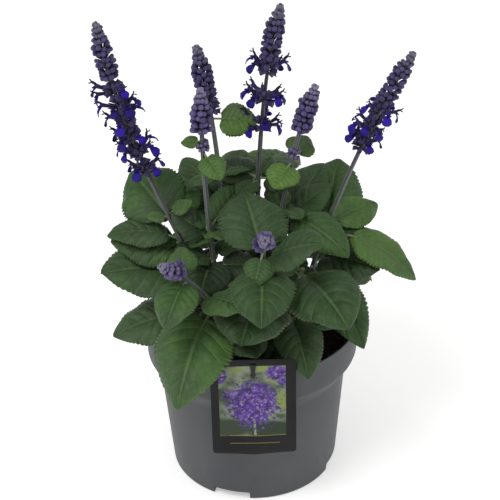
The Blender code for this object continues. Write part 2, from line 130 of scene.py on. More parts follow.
# --- Pot ----------------------------------------------------------------------------------------
# A round nursery pot, vacuum-formed from two-layer polypropylene sheet: slate grey outside and
# black inside. It has a near-upright band under its lip, four drainage channels and four holes.
POT_HEIGHT = 150 * MM
POT_RIM = 95 * MM
POT_BAND_FOOT = 93.8 * MM
POT_BAND = 28 * MM
POT_SHOULDER = 20 * MM
POT_BODY = 83.5 * MM
POT_BASE = 75 * MM
POT_WALL = 1.5 * MM
POT_STEPS = 192
LIP_ROUND = 0.8 * MM
BASE_ROUND = 2.5 * MM
BASE_TAPER = 0.2 * MM
SHOULDER_STEPS = 14
CHANNEL_ROUND = 1.6 * MM
CHANNEL_HEIGHT = 8 * MM
CHANNEL_WIDTH = 34 * MM
CHANNEL_START = 32 * MM
CHANNEL_TURNS = [radians(-107 + 90 * index) for index in range(4)]
DRAIN_RADIUS = 5 * MM
DRAIN_FROM_AXIS = 61 * MM


def pot_side(inset):
    """(radius, height) down the pot's side, from just under the lip to just above the base."""
    points = [(POT_RIM - inset, POT_HEIGHT - LIP_ROUND),
              (POT_BAND_FOOT - inset, POT_HEIGHT - POT_BAND)]
    for step in range(1, SHOULDER_STEPS + 1):
        share = step / SHOULDER_STEPS
        ease = share * share * (3 - 2 * share)
        radius = POT_BAND_FOOT * (1 - ease) + POT_BODY * ease - inset
        points.append((radius, POT_HEIGHT - POT_BAND - POT_SHOULDER * share))
    return points


def lip_quarter(side):
    """Half of the lip's round top, from its crown towards the outside (1) or the inside (-1)."""
    return [(POT_RIM - POT_WALL / 2 + side * POT_WALL / 2 * sin(turn),
             POT_HEIGHT - LIP_ROUND + LIP_ROUND * cos(turn))
            for turn in np.linspace(0, pi / 2, 6)[:-1]]


def turned_piece(name, profile):
    """A body turned round Z from (radius, height) points that run down its outer side."""
    edges = [(index, index + 1) for index in range(len(profile) - 1)]
    mesh = bpy.data.meshes.new(name)
    mesh.from_pydata([(radius, 0, height) for radius, height in profile], edges, [])
    piece = bpy.data.objects.new(name, mesh)
    scene.collection.objects.link(piece)
    screw = piece.modifiers.new("turn", "SCREW")
    screw.steps = screw.render_steps = POT_STEPS
    screw.use_merge_vertices = True
    screw.merge_threshold = 0.00001
    return piece


def made_plain(piece):
    """What the modifiers give becomes the piece's own mesh, and they come off."""
    graph = bpy.context.evaluated_depsgraph_get()
    mesh = bpy.data.meshes.new_from_object(piece.evaluated_get(graph))
    piece.modifiers.clear()
    piece.data = mesh
    return piece


def cut_away(piece, *tools):
    for tool in tools:
        boolean = piece.modifiers.new(tool.name, "BOOLEAN")
        boolean.operation = "DIFFERENCE"
        boolean.object = tool
    made_plain(piece)
    for tool in tools:
        bpy.data.objects.remove(tool)


def piece_of(shape, name, materials=()):
    """A piece from an edited shape, which is then let go."""
    piece = mesh_piece(name, [], [], materials)
    shape.to_mesh(piece.data)
    shape.free()
    return piece


def channel_tool(name, grow):
    """The four drainage channels as one cutter, each made larger by grow on every side."""
    shape = bmesh.new()
    length = POT_RIM - CHANNEL_START + grow
    for turn in CHANNEL_TURNS:
        place = Matrix.Rotation(turn, 4, "Z")
        place @= Matrix.Translation((CHANNEL_START - grow + length / 2, 0, 0))
        size = (length, CHANNEL_WIDTH + 2 * grow, 2 * (CHANNEL_HEIGHT + grow), 1)
        made = bmesh.ops.create_cube(shape, matrix=place @ Matrix.Diagonal(size))
        upright = [edge for edge in {e for v in made["verts"] for e in v.link_edges}
                   if abs(edge.verts[0].co.z - edge.verts[1].co.z) < 1e-6
                   and edge.verts[0].co.z > 0]
        bmesh.ops.bevel(shape, geom=upright, offset=CHANNEL_ROUND, segments=3, affect="EDGES",
                        profile=0.5)
    return piece_of(shape, name)


base_corner = [(POT_BASE - BASE_ROUND * (1 - cos(turn)) + BASE_TAPER, BASE_ROUND * (1 - sin(turn)))
               for turn in np.linspace(0, pi / 2, 6)]
pot = turned_piece("nursery_pot", [(0, POT_HEIGHT)] + lip_quarter(1) + pot_side(0) + base_corner
                   + [(0, 0)])
above_lip = POT_HEIGHT + POT_WALL
hollow = turned_piece("hollow", [(0, above_lip), (POT_RIM - POT_WALL / 2, above_lip)]
                      + lip_quarter(-1) + pot_side(POT_WALL)
                      + [(POT_BASE - POT_WALL + 2 * BASE_TAPER, POT_WALL), (0, POT_WALL)])
cut_away(hollow, channel_tool("channel_roofs", POT_WALL))
shape = bmesh.new()
for turn in CHANNEL_TURNS:
    place = Matrix.Rotation(turn, 4, "Z") @ Matrix.Translation((DRAIN_FROM_AXIS, 0, CHANNEL_HEIGHT))
    bmesh.ops.create_cone(shape, cap_ends=True, segments=40, radius1=DRAIN_RADIUS,
                          radius2=DRAIN_RADIUS, depth=4 * POT_WALL, matrix=place)
drains = piece_of(shape, "drains")
cut_away(pot, channel_tool("channels", 0), hollow, drains)


def add_node(tree, kind, values=None, **settings):
    """A node with its settings, and a value or another node's socket for each named input."""
    made = tree.nodes.new(kind)
    for name, value in settings.items():
        setattr(made, name, value)
    for socket, value in (values or {}).items():
        if isinstance(value, bpy.types.NodeSocket):
            tree.links.new(value, made.inputs[socket])
        else:
            made.inputs[socket].default_value = value
    return made


def maths(tree, operation, *values):
    return add_node(tree, "ShaderNodeMath", dict(enumerate(values)), operation=operation).outputs[0]


def mixed(tree, share, first, second, mode="MIX"):
    return add_node(tree, "ShaderNodeMix", {0: share, 6: first, 7: second},
                    data_type="RGBA", blend_type=mode).outputs[2]


def ramp(tree, share, *stops):
    made = add_node(tree, "ShaderNodeValToRGB", {0: share})
    while len(made.color_ramp.elements) < len(stops):
        made.color_ramp.elements.new(0.5)
    for element, (place, colour) in zip(made.color_ramp.elements, stops):
        element.position = place
        element.color = colour
    return made.outputs[0]


def grey(level):
    return (level, level, level, 1.0)


def grain(tree, scale, detail=2.0, stretch=(1, 1, 1), distortion=0.0):
    """Noise fixed to the piece, 0 to 1, with its size along each axis set by stretch."""
    where = add_node(tree, "ShaderNodeTexCoord").outputs["Object"]
    where = add_node(tree, "ShaderNodeMapping", {"Vector": where, "Scale": stretch}).outputs[0]
    return add_node(tree, "ShaderNodeTexNoise", {"Vector": where, "Scale": scale, "Detail": detail,
                                                 "Distortion": distortion}).outputs[0]


def surfaced(tree, shader, colour, height, distance):
    """Gives a material its colour and its fine relief."""
    relief = add_node(tree, "ShaderNodeBump", {"Height": height, "Distance": distance,
                                               "Strength": 1.0})
    tree.links.new(colour, shader.inputs["Base Color"])
    tree.links.new(relief.outputs[0], shader.inputs["Normal"])


def new_group(name, kind, inputs, outputs):
    """A shader or geometry node group with its named sockets, each given with its kind."""
    group = bpy.data.node_groups.new(name, kind)
    for way, sockets in (("INPUT", inputs), ("OUTPUT", outputs)):
        for socket, sort in sockets.items():
            group.interface.new_socket(name=socket, in_out=way, socket_type="NodeSocket" + sort)
    return group, group.nodes.new("NodeGroupInput").outputs


def give_out(group, results):
    outside = group.nodes.new("NodeGroupOutput").inputs
    for socket, value in results.items():
        group.links.new(value, outside[socket])
    return group


def handling_marks():
    """Shader group: dust film, rub marks and fine grain of moulded or printed plastic."""
    group, inside = new_group("handling_marks", "ShaderNodeTree",
                              {"Colour": "Color", "Dust": "Float", "Gloss": "Float"},
                              {"Colour": "Color", "Roughness": "Float", "Height": "Float"})
    film = ramp(group, grain(group, 14, 5), (0.42, grey(0)), (0.75, grey(1)))
    rubs = ramp(group, grain(group, 60, 3, (1, 1, 0.16), 0.6), (0.60, grey(0)), (0.72, grey(1)))
    specks = ramp(group, grain(group, 420, 1), (0.74, grey(0)), (0.79, grey(1)))
    dusty = maths(group, "MULTIPLY", maths(group, "MAXIMUM", film, specks), inside["Dust"])
    colour = mixed(group, dusty, inside["Colour"], paint(150, 148, 142))
    rubbed = maths(group, "MULTIPLY", rubs, 0.10)
    rough = maths(group, "ADD", inside["Gloss"], maths(group, "MULTIPLY", dusty, 0.6))
    rough = maths(group, "SUBTRACT", rough, rubbed)
    fine = maths(group, "MULTIPLY", grain(group, 240, 2), 0.5)
    fine = maths(group, "ADD", grain(group, 2600, 2), fine)
    return give_out(group, {"Colour": colour, "Roughness": rough, "Height": fine})


MARKS = handling_marks()


def marked_plastic(name, colour, dust, gloss, pebble, **values):
    """Plastic with handling marks on it, and a pebbled grain this deep in metres."""
    material, tree, shader = new_material(name, **values)
    marks = add_node(tree, "ShaderNodeGroup", {"Colour": colour, "Dust": dust, "Gloss": gloss},
                     node_tree=MARKS)
    tree.links.new(marks.outputs["Roughness"], shader.inputs["Roughness"])
    surfaced(tree, shader, marks.outputs["Colour"], marks.outputs["Height"], pebble)
    return material, marks


def dressed(piece, *materials, sharp):
    """Gives a piece its materials, and smooth shading up to this angle in degrees."""
    piece.data.materials.clear()
    for material in materials:
        piece.data.materials.append(material)
    piece.data.shade_smooth()
    piece.data.set_sharp_from_angle(angle=radians(sharp))


pot_grey, _ = marked_plastic("pot_outside", paint(54, 58, 62), 0.10, 0.52, 0.00006)
pot_black, _ = marked_plastic("pot_inside", paint(20, 20, 20), 0.12, 0.5, 0.00006)
dressed(pot, pot_grey, pot_black, sharp=40)
for face in pot.data.polygons:
    outward = Vector((face.center.x, face.center.y, 0)).normalized()
    lining = face.normal.dot(outward) < -0.35 and face.center.z > CHANNEL_HEIGHT + POT_WALL
    bottom = face.normal.z > 0.6 and face.center.z < POT_HEIGHT / 2
    face.material_index = int(lining or bottom)


def settle(piece, slot, *nodes):
    """The piece belongs to the plant's one body, and stands for these solids."""
    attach(piece, "root")
    if nodes:
        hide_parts(*nodes)


settle(pot, "pot_plastic", "pot")


# --- Compost ------------------------------------------------------------------------------------
# Dark peat-based compost, watered in and settled 30 mm under the lip. Its crust is crumbly, with
# bark chips and a little white perlite lying on it.
SOIL_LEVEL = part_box("soil")[1].z
SOIL_RADIUS = 91.3 * MM
SOIL_FOOT = (72.5 * MM, 10.2 * MM)
SOIL_RINGS = 70
SOIL_SPOKES = 180
BARE_EDGE_RINGS = 4


def soil_level_at(x, y):
    rise = noise.fractal(Vector((x, y, 0)) * 45, 0.9, 2.1, 5) * 2.2
    crumbs = noise.fractal(Vector((x, y, 7)) * 260, 0.7, 2.0, 4) * 0.9
    edge = max(0.0, (x * x + y * y) ** 0.5 / SOIL_RADIUS - 0.8) * 9
    return SOIL_LEVEL + (rise + crumbs - edge - 0.6) * MM


points = [(0, 0, soil_level_at(0, 0))]
for ring in range(1, SOIL_RINGS + 1):
    reach = SOIL_RADIUS * ring / SOIL_RINGS
    for spoke in range(SOIL_SPOKES):
        x, y = reach * cos(tau * spoke / SOIL_SPOKES), reach * sin(tau * spoke / SOIL_SPOKES)
        points.append((x, y, soil_level_at(x, y)))
foot_rings = [(radius, height) for radius, height in pot_side(POT_WALL + 0.3 * MM)[2:]
              if height < SOIL_LEVEL - 3 * MM]
foot_rings.append(SOIL_FOOT)
for radius, height in foot_rings:
    for spoke in range(SOIL_SPOKES):
        turn = tau * spoke / SOIL_SPOKES
        points.append((radius * cos(turn), radius * sin(turn), height))
points.append((0, 0, foot_rings[-1][1]))
faces = []
for spoke in range(SOIL_SPOKES):
    after = (spoke + 1) % SOIL_SPOKES
    faces.append((0, 1 + spoke, 1 + after))
    for ring in range(SOIL_RINGS + len(foot_rings) - 1):
        near, far = 1 + ring * SOIL_SPOKES, 1 + (ring + 1) * SOIL_SPOKES
        faces.append((near + spoke, far + spoke, far + after, near + after))
    last = 1 + (SOIL_RINGS + len(foot_rings) - 1) * SOIL_SPOKES
    faces.append((last + spoke, len(points) - 1, last + after))


def grained_look(name, tint_grain, stops, relief_grain, distance, **values):
    """A natural material whose tint and fine relief both follow a grain."""
    material, tree, shader = new_material(name, **values)
    tint = ramp(tree, grain(tree, *tint_grain), *stops)
    surfaced(tree, shader, tint, grain(tree, *relief_grain), distance)
    return material


compost_look = grained_look(
    "compost", (300, 6), ((0.3, paint(22, 16, 12)), (0.55, paint(46, 34, 25)),
                          (0.75, paint(84, 66, 48))), (900, 6), 0.0012, Roughness=0.95)
compost = mesh_piece("compost", points, faces, [compost_look])
compost.data.shade_smooth()


def geometry_tree(name, sockets):
    """A Geometry Nodes tree with a geometry in and out and these named inputs."""
    geometry = {"Geometry": "Geometry"}
    return new_group(name, "GeometryNodeTree", geometry | sockets, geometry)


def finish_tree(tree, geometry, material):
    """Realized instances in their material, as the tree's result."""
    real = add_node(tree, "GeometryNodeRealizeInstances", {0: geometry}).outputs[0]
    painted = add_node(tree, "GeometryNodeSetMaterial", {"Geometry": real, "Material": material})
    return give_out(tree, {"Geometry": painted.outputs[0]})


def run_tree(piece, tree, values):
    """Runs the tree on the piece with its inputs set by identifier, and keeps the plain mesh."""
    modifier = piece.modifiers.new(tree.name, "NODES")
    modifier.node_group = tree
    for item in tree.interface.items_tree:
        if item.in_out == "INPUT" and item.name in values:
            modifier[item.identifier] = values[item.name]
    return made_plain(piece)


def random_between(tree, low, high, seed, offset):
    """A random number for each point; another offset gives another draw."""
    made = add_node(tree, "FunctionNodeRandomValue", {2: low, 3: high})
    tree.links.new(maths(tree, "ADD", seed, offset), made.inputs[8])
    return made.outputs[1]


def scatter_tree():
    """Crumbs of one shape strewn over a surface, each turned and sized differently."""
    tree, given = geometry_tree("strewn_crumbs", {
        "Crumb": "Object", "Per square metre": "Float", "Smallest": "Float", "Largest": "Float",
        "Seed": "Int", "Material": "Material"})
    spread = add_node(tree, "GeometryNodeDistributePointsOnFaces", {
        "Mesh": given["Geometry"], "Density": given["Per square metre"], "Seed": given["Seed"]})
    turn = add_node(tree, "FunctionNodeRandomValue", {0: (0, 0, 0), 1: (tau, tau, tau)},
                    data_type="FLOAT_VECTOR")
    tree.links.new(given["Seed"], turn.inputs[8])
    size = random_between(tree, given["Smallest"], given["Largest"], given["Seed"], 3)
    crumb = add_node(tree, "GeometryNodeObjectInfo", {"Object": given["Crumb"]})
    placed = add_node(tree, "GeometryNodeInstanceOnPoints", {
        "Points": spread.outputs["Points"], "Instance": crumb.outputs["Geometry"],
        "Rotation": turn.outputs[0], "Scale": size})
    return finish_tree(tree, placed.outputs[0], given["Material"])


def crumb_shape(name, flat, seed):
    """One uneven crumb about 2 m across, to be scaled down, and flatter as flat falls below 1."""
    shape = bmesh.new()
    bmesh.ops.create_icosphere(shape, subdivisions=1, radius=1.0)
    for vertex in shape.verts:
        vertex.co *= 0.75 + 0.5 * noise.noise(vertex.co * 1.7 + Vector((seed, 0, 0)))
        vertex.co.z *= flat
        vertex.co.x *= 1.5 - flat
    return piece_of(shape, name)


bark = grained_look(
    "bark_chip", (160, 4), ((0.3, paint(40, 27, 18)), (0.7, paint(104, 78, 54))),
    (700, 4, (1, 1, 4)), 0.0006, Roughness=0.9)
perlite = grained_look(
    "perlite", (500, 3), ((0.3, paint(168, 162, 150)), (0.7, paint(232, 228, 218))),
    (1500, 2), 0.0003, Roughness=0.85)
STREWN = scatter_tree()
surface_faces = [face for face in faces
                 if max(face) <= (SOIL_RINGS - BARE_EDGE_RINGS) * SOIL_SPOKES]
# Name, flatness, number to a square metre, smallest and largest radius in mm, seed and look.
for name, flat, density, smallest, largest, seed, look in (
        ("soil_crumbs", 0.8, 42000, 0.7, 1.7, 5, compost_look),
        ("bark_chips", 0.35, 9000, 1.4, 3.4, 11, bark),
        ("perlite_grains", 0.9, 2600, 0.7, 1.5, 23, perlite)):
    crumb = crumb_shape(name + "_shape", flat, seed)
    strewn = mesh_piece(name, points, surface_faces)
    run_tree(strewn, STREWN, {"Crumb": crumb, "Per square metre": density,
                              "Smallest": smallest * MM, "Largest": largest * MM,
                              "Seed": seed, "Material": look})
    bpy.data.objects.remove(crumb)
    settle(strewn, "potting_soil")
settle(compost, "potting_soil", "soil")


# --- Plant label --------------------------------------------------------------------------------
# A charcoal card of printed polypropylene with rounded corners and a shallow point below. A colour
# picture of a round violet flower head fills its upper part, over two thin gold lines.
card_low, card_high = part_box("label_card")
CARD_CORNER = 3.5 * MM
CARD_POINT = 2.5 * MM
CARD_EDGE = 0.12 * MM
SLOT_HALF = 2.9 * MM
SLOT_LOW, SLOT_HIGH = 162.9 * MM, 164.3 * MM
half_width = (card_high.x - card_low.x) / 2
card_foot = card_low.z + CARD_POINT
outline = []
for x, z, start in ((half_width, card_high.z, 0), (-half_width, card_high.z, 90),
                    (-half_width, card_foot, 180), (half_width, card_foot, 270)):
    centre_x = x - CARD_CORNER * (1 if x > 0 else -1)
    centre_z = z + CARD_CORNER * (-1 if z == card_high.z else 1)
    for step in range(9):
        turn = radians(start + 90 * step / 8)
        outline.append((centre_x + CARD_CORNER * cos(turn), centre_z + CARD_CORNER * sin(turn)))
    if start == 180:
        for share in np.linspace(-0.8, 0.8, 9):
            outline.append((half_width * share, card_foot - CARD_POINT * (1 - abs(share)) ** 1.4))
card_curve = bpy.data.curves.new("card_outline", "CURVE")
card_curve.dimensions = "2D"
card_curve.fill_mode = "BOTH"
card_curve.extrude = (card_high.y - card_low.y) / 2 - CARD_EDGE
card_curve.bevel_depth = CARD_EDGE
card_curve.bevel_resolution = 2
card_curve.offset = -CARD_EDGE
slot_corners = [(-SLOT_HALF, SLOT_LOW), (SLOT_HALF, SLOT_LOW), (SLOT_HALF, SLOT_HIGH),
                (-SLOT_HALF, SLOT_HIGH)]
for loop in (outline, slot_corners):
    spline = card_curve.splines.new("POLY")
    spline.points.add(len(loop) - 1)
    spline.use_cyclic_u = True
    for point, (x, z) in zip(spline.points, loop):
        point.co = (x, z, 0, 1)
flat_card = bpy.data.objects.new("card_outline", card_curve)
scene.collection.objects.link(flat_card)
graph = bpy.context.evaluated_depsgraph_get()
card_mesh = bpy.data.meshes.new_from_object(flat_card.evaluated_get(graph))
bpy.data.objects.remove(flat_card)
stand_up = Matrix.Translation((0, (card_low.y + card_high.y) / 2, 0))
card_mesh.transform(stand_up @ Matrix.Rotation(pi / 2, 4, "X"))


def faced_outwards(mesh, join=None):
    """Joins points closer than join, where it is given, and turns every face outwards."""
    shape = bmesh.new()
    shape.from_mesh(mesh)
    if join:
        bmesh.ops.remove_doubles(shape, verts=shape.verts, dist=join)
    bmesh.ops.recalc_face_normals(shape, faces=shape.faces)
    shape.to_mesh(mesh)
    shape.free()


faced_outwards(card_mesh, join=0.005 * MM)
card = bpy.data.objects.new("plant_label", card_mesh)
scene.collection.objects.link(card)


def soft_spot_group():
    """Shader group: 1 inside an ellipse on the card and 0 outside, with a soft, ragged edge."""
    inputs = ("Across", "Up", "Rag", "Centre across", "Centre up", "Half width", "Half height",
              "Blur", "Ragged")
    group, given = new_group("soft_spot", "ShaderNodeTree", dict.fromkeys(inputs, "Float"),
                             {"Mask": "Float"})
    terms = []
    for here, centre, half in (("Across", "Centre across", "Half width"),
                               ("Up", "Centre up", "Half height")):
        off = maths(group, "SUBTRACT", given[here], given[centre])
        off = maths(group, "DIVIDE", off, given[half])
        terms.append(maths(group, "MULTIPLY", off, off))
    reach = maths(group, "SQRT", maths(group, "ADD", *terms))
    ragged = maths(group, "SUBTRACT", given["Rag"], 0.5)
    reach = maths(group, "ADD", reach, maths(group, "MULTIPLY", ragged, given["Ragged"]))
    edge = maths(group, "DIVIDE", maths(group, "SUBTRACT", 1.0, reach), given["Blur"])
    mask = add_node(group, "ShaderNodeClamp", {0: maths(group, "ADD", edge, 0.5)}).outputs[0]
    return give_out(group, {"Mask": mask})


def vectors(tree, operation, values):
    return add_node(tree, "ShaderNodeVectorMath", values, operation=operation).outputs[0]


# The printed picture's edges, and each gold line's height, left end, right end and sag, are in mm.
PICTURE_LEFT, PICTURE_RIGHT = -29.2, 27.3
PICTURE_FOOT, PICTURE_TOP = 89, 162
GOLD_LINES = ((88.4, -21, 27, 1.1), (80.6, -21, 22, 0.5))
GOLD_HALF = 0.28
charcoal = paint(9, 9, 10)
card_print, marks = marked_plastic("label_print", charcoal, 0.02, 0.42, 0.00002,
                                   Specular_IOR_Level=0.2)
tree = card_print.node_tree
in_mm = {"Vector": add_node(tree, "ShaderNodeTexCoord").outputs["Object"], "Scale": [1 / MM] * 3}
place = add_node(tree, "ShaderNodeMapping", in_mm).outputs[0]
axes = add_node(tree, "ShaderNodeSeparateXYZ", {0: place}).outputs
across, up = axes["X"], axes["Z"]
petal_bend = add_node(tree, "ShaderNodeTexNoise", {"Vector": place, "Scale": 0.16, "Detail": 3.0})
bent = vectors(tree, "MULTIPLY_ADD", {0: petal_bend.outputs["Color"], 1: (9, 9, 9), 2: place})
petal_cells = add_node(tree, "ShaderNodeTexVoronoi", {"Vector": bent, "Scale": 0.24,
                                                      "Randomness": 1.0})
petal_tints = add_node(tree, "ShaderNodeTexNoise", {"Vector": place, "Scale": 0.42, "Detail": 4.0})
haze = add_node(tree, "ShaderNodeTexNoise", {"Vector": place, "Scale": 0.055, "Detail": 2.0,
                                             "Distortion": 1.2})
SPOT = soft_spot_group()


def spot(centre_x, centre_z, half_x, half_z, blur, ragged):
    """A soft-edged mask on the card, placed and sized in mm."""
    return add_node(tree, "ShaderNodeGroup", {
        "Across": across, "Up": up, "Rag": petal_tints.outputs[0], "Centre across": centre_x,
        "Centre up": centre_z, "Half width": half_x, "Half height": half_z, "Blur": blur,
        "Ragged": ragged}, node_tree=SPOT).outputs[0]


def between(value, low, high):
    return maths(tree, "MULTIPLY", maths(tree, "GREATER_THAN", value, low),
                 maths(tree, "LESS_THAN", value, high))


meadow = ramp(tree, haze.outputs[0], (0.30, paint(52, 66, 46)), (0.46, paint(98, 108, 88)),
              (0.60, paint(126, 134, 112)), (0.72, paint(74, 88, 62)))
picture = meadow
for leafy_spot, colour in (((14, 96, 24, 9, 0.5, 0.4), paint(38, 54, 36)),
                           ((-20, 98, 18, 10, 0.5, 0.4), paint(50, 62, 44)),
                           ((24, 126, 3.5, 9, 0.8, 0.3), paint(120, 136, 62)),
                           ((8, 159, 7, 3.5, 0.8, 0.3), paint(124, 138, 74)),
                           ((-14, 158, 6, 3, 0.8, 0.3), paint(116, 130, 78))):
    picture = mixed(tree, spot(*leafy_spot), picture, colour)
stalk = between(maths(tree, "ADD", across, maths(tree, "MULTIPLY", up, 0.03)), 2.6, 4.6)
stalk = maths(tree, "MULTIPLY", stalk, between(up, 88, 106))
picture = mixed(tree, stalk, picture, paint(128, 138, 100))
bloom = ramp(tree, petal_cells.outputs["Distance"], (0.05, paint(150, 124, 176)),
             (0.28, paint(98, 70, 150)), (0.60, paint(66, 44, 116)), (0.95, paint(42, 34, 62)))
fleck = ramp(tree, petal_tints.outputs[0], (0.56, grey(0)), (0.66, grey(1)))
bloom = mixed(tree, maths(tree, "MULTIPLY", fleck, 0.7), bloom, paint(164, 140, 164))
picture = mixed(tree, spot(-1, 122, 20, 23, 0.10, 1.9), picture, bloom)
for corner_spot in ((-28, 154, 5.5, 9), (20, 155, 9, 7), (25, 145, 4, 4), (-23, 133, 3.5, 4)):
    picture = mixed(tree, spot(*corner_spot, 0.3, 0.9), picture, bloom)
window = maths(tree, "MULTIPLY", between(across, PICTURE_LEFT, PICTURE_RIGHT),
               between(up, PICTURE_FOOT, PICTURE_TOP))
front_side = maths(tree, "LESS_THAN", axes["Y"], card_low.y / MM + 0.1)
window = maths(tree, "MULTIPLY", window, front_side)
printed = mixed(tree, window, charcoal, picture)
for middle, left, right, sag in GOLD_LINES:
    bend = maths(tree, "ABSOLUTE", maths(tree, "DIVIDE", maths(tree, "SUBTRACT", across, 3), 24))
    line_height = maths(tree, "SUBTRACT", up, maths(tree, "MULTIPLY", bend, sag))
    line = between(line_height, middle - GOLD_HALF, middle + GOLD_HALF)
    line = maths(tree, "MULTIPLY", line, between(across, left, right))
    line = maths(tree, "MULTIPLY", line, front_side)
    printed = mixed(tree, line, printed, paint(122, 116, 58))
tree.links.new(printed, marks.inputs["Colour"])
dressed(card, card_print, sharp=50)
settle(card, "label_card", "label_card")


# --- Label hook ---------------------------------------------------------------------------------
# A moulded strip of black plastic. Its notched tongue passes through the card's slot, and the strip
# runs over the pot's lip and down inside the band.
hook_low, hook_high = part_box("label_hook")
HOOK_THICK = 0.8 * MM
HOOK_HALF = 2.45 * MM
HOOK_BEND = 1.0 * MM
HOOK_EDGE = 0.15 * MM
front, rear, top = hook_low.y, hook_high.y, hook_high.z
tongue_end = top - 14 * MM
route = [(front, tongue_end), (front, tongue_end + 2 * MM), (front, tongue_end + 3.4 * MM),
         (front, tongue_end + 5 * MM), (front, tongue_end + 8 * MM), (front, top - 2.5 * MM)]
bend = np.linspace(0, pi / 2, 5)
route += [(front + HOOK_BEND * (1 - cos(turn)), top - HOOK_BEND * (1 - sin(turn))) for turn in bend]
route += [(rear - HOOK_BEND * (1 - sin(turn)), top - HOOK_BEND * (1 - cos(turn))) for turn in bend]
route += [(rear, hook_low.z + 3 * MM), (rear, hook_low.z)]
# Half width at each point of the route, as a share of the strip's own, with the tongue's notches.
halves = [0.55, 0.80, 1.0, 0.62, 0.78, 0.92] + [1.0] * 2 * len(bend) + [1.0, 0.7]
shape = bmesh.new()
rings = []
for index, (y, z) in enumerate(route):
    before, after = route[max(index - 1, 0)], route[min(index + 1, len(route) - 1)]
    along = Vector((0, after[0] - before[0], after[1] - before[1])).normalized()
    inward = Vector((0, along.z, -along.y))
    half = HOOK_HALF * halves[index]
    flat = half - HOOK_EDGE
    section = ((-half, 0.12), (-flat, 0), (flat, 0), (half, 0.12),
               (half, 0.88), (flat, 1), (-flat, 1), (-half, 0.88))
    rings.append([shape.verts.new(Vector((x, y, z)) + inward * HOOK_THICK * depth)
                  for x, depth in section])
for near, far in zip(rings, rings[1:]):
    for index in range(8):
        after = (index + 1) % 8
        shape.faces.new((near[index], near[after], far[after], far[index]))
shape.faces.new(rings[0])
shape.faces.new(rings[-1])
bmesh.ops.recalc_face_normals(shape, faces=shape.faces)
hook_black, _ = marked_plastic("hook_black", paint(7, 7, 8), 0.03, 0.24, 0.00004,
                               Specular_IOR_Level=0.3)
hook = piece_of(shape, "label_hook_strip")
dressed(hook, hook_black, sharp=40)
settle(hook, "hook_plastic", "label_hook")


# --- Stems --------------------------------------------------------------------------------------
# Square sage stems with a groove down each face and pale ridges at the corners. They rise from the
# compost, and the flowering ones turn slate violet towards their spikes.
FLOWER_STEMS = [f"flower_stem_{number}" for number in range(1, 9)]
LEAFY_STEMS = ["leafy_shoot_left", "leafy_shoot_right", "leafy_shoot_back"]
STEM_SECTION_SIDES = 16
STEM_RIDGE = 0.11
STEM_SHARE_OF_SOLID = 0.96


def joined_shape(node):
    """A copy of a solid's mesh with its loose triangles joined."""
    shape = bmesh.new()
    shape.from_mesh(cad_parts[node].data)
    bmesh.ops.remove_doubles(shape, verts=shape.verts, dist=0.00002)
    return shape


def layers_from(seeds):
    """The points next to the seeds, then the points next to those, and so on."""
    seen, layers = set(seeds), [list(seeds)]
    while layers[-1]:
        found = {edge.other_vert(vertex) for vertex in layers[-1] for edge in vertex.link_edges}
        found -= seen
        seen |= found
        layers.append(sorted(found, key=lambda vertex: vertex.index))
    return layers[:-1]


def tube_rings(node):
    """(centre, radius) of each ring of a tube, from its lower end to its upper end."""
    shape = joined_shape(node)
    shape.verts.index_update()
    shape.normal_update()
    cap = min(shape.faces, key=lambda face: face.calc_center_median().z)
    level = cap.normal.dot(cap.calc_center_median())
    seeds = {vertex for face in shape.faces if face.normal.dot(cap.normal) > 0.999
             and abs(cap.normal.dot(face.calc_center_median()) - level) < 0.05 * MM
             for vertex in face.verts}
    rows = []
    for layer in layers_from(sorted(seeds, key=lambda vertex: vertex.index)):
        centre = sum((vertex.co for vertex in layer), Vector()) / len(layer)
        reach = max((vertex.co - centre).length for vertex in layer)
        rows.append((centre, reach))
    shape.free()
    return rows


def fine_path(rows, per_step):
    """A smooth path through the rows' centres, and its radius at each of its points."""
    centres = np.array([centre for centre, _ in rows])
    radii = np.array([radius for _, radius in rows])
    path, sizes = [], []
    for index in range(len(rows) - 1):
        before, after = max(index - 1, 0), min(index + 2, len(rows) - 1)
        p0, p1, p2, p3 = centres[before], centres[index], centres[index + 1], centres[after]
        for step in range(per_step):
            t = step / per_step
            path.append(0.5 * (2 * p1 + (p2 - p0) * t
                               + (2 * p0 - 5 * p1 + 4 * p2 - p3) * t * t
                               + (3 * p1 - p0 - 3 * p2 + p3) * t ** 3))
            sizes.append(radii[index] * (1 - t) + radii[index + 1] * t)
    path.append(centres[-1])
    sizes.append(radii[-1])
    return path, sizes


def kept_attribute(tree, name, kind="FLOAT"):
    return add_node(tree, "GeometryNodeInputNamedAttribute", {"Name": name},
                    data_type=kind).outputs[0]


def keep_attribute(tree, geometry, name, value, domain="POINT"):
    return add_node(tree, "GeometryNodeStoreNamedAttribute", {
        "Geometry": geometry, "Name": name, "Value": value},
        data_type="FLOAT", domain=domain).outputs[0]


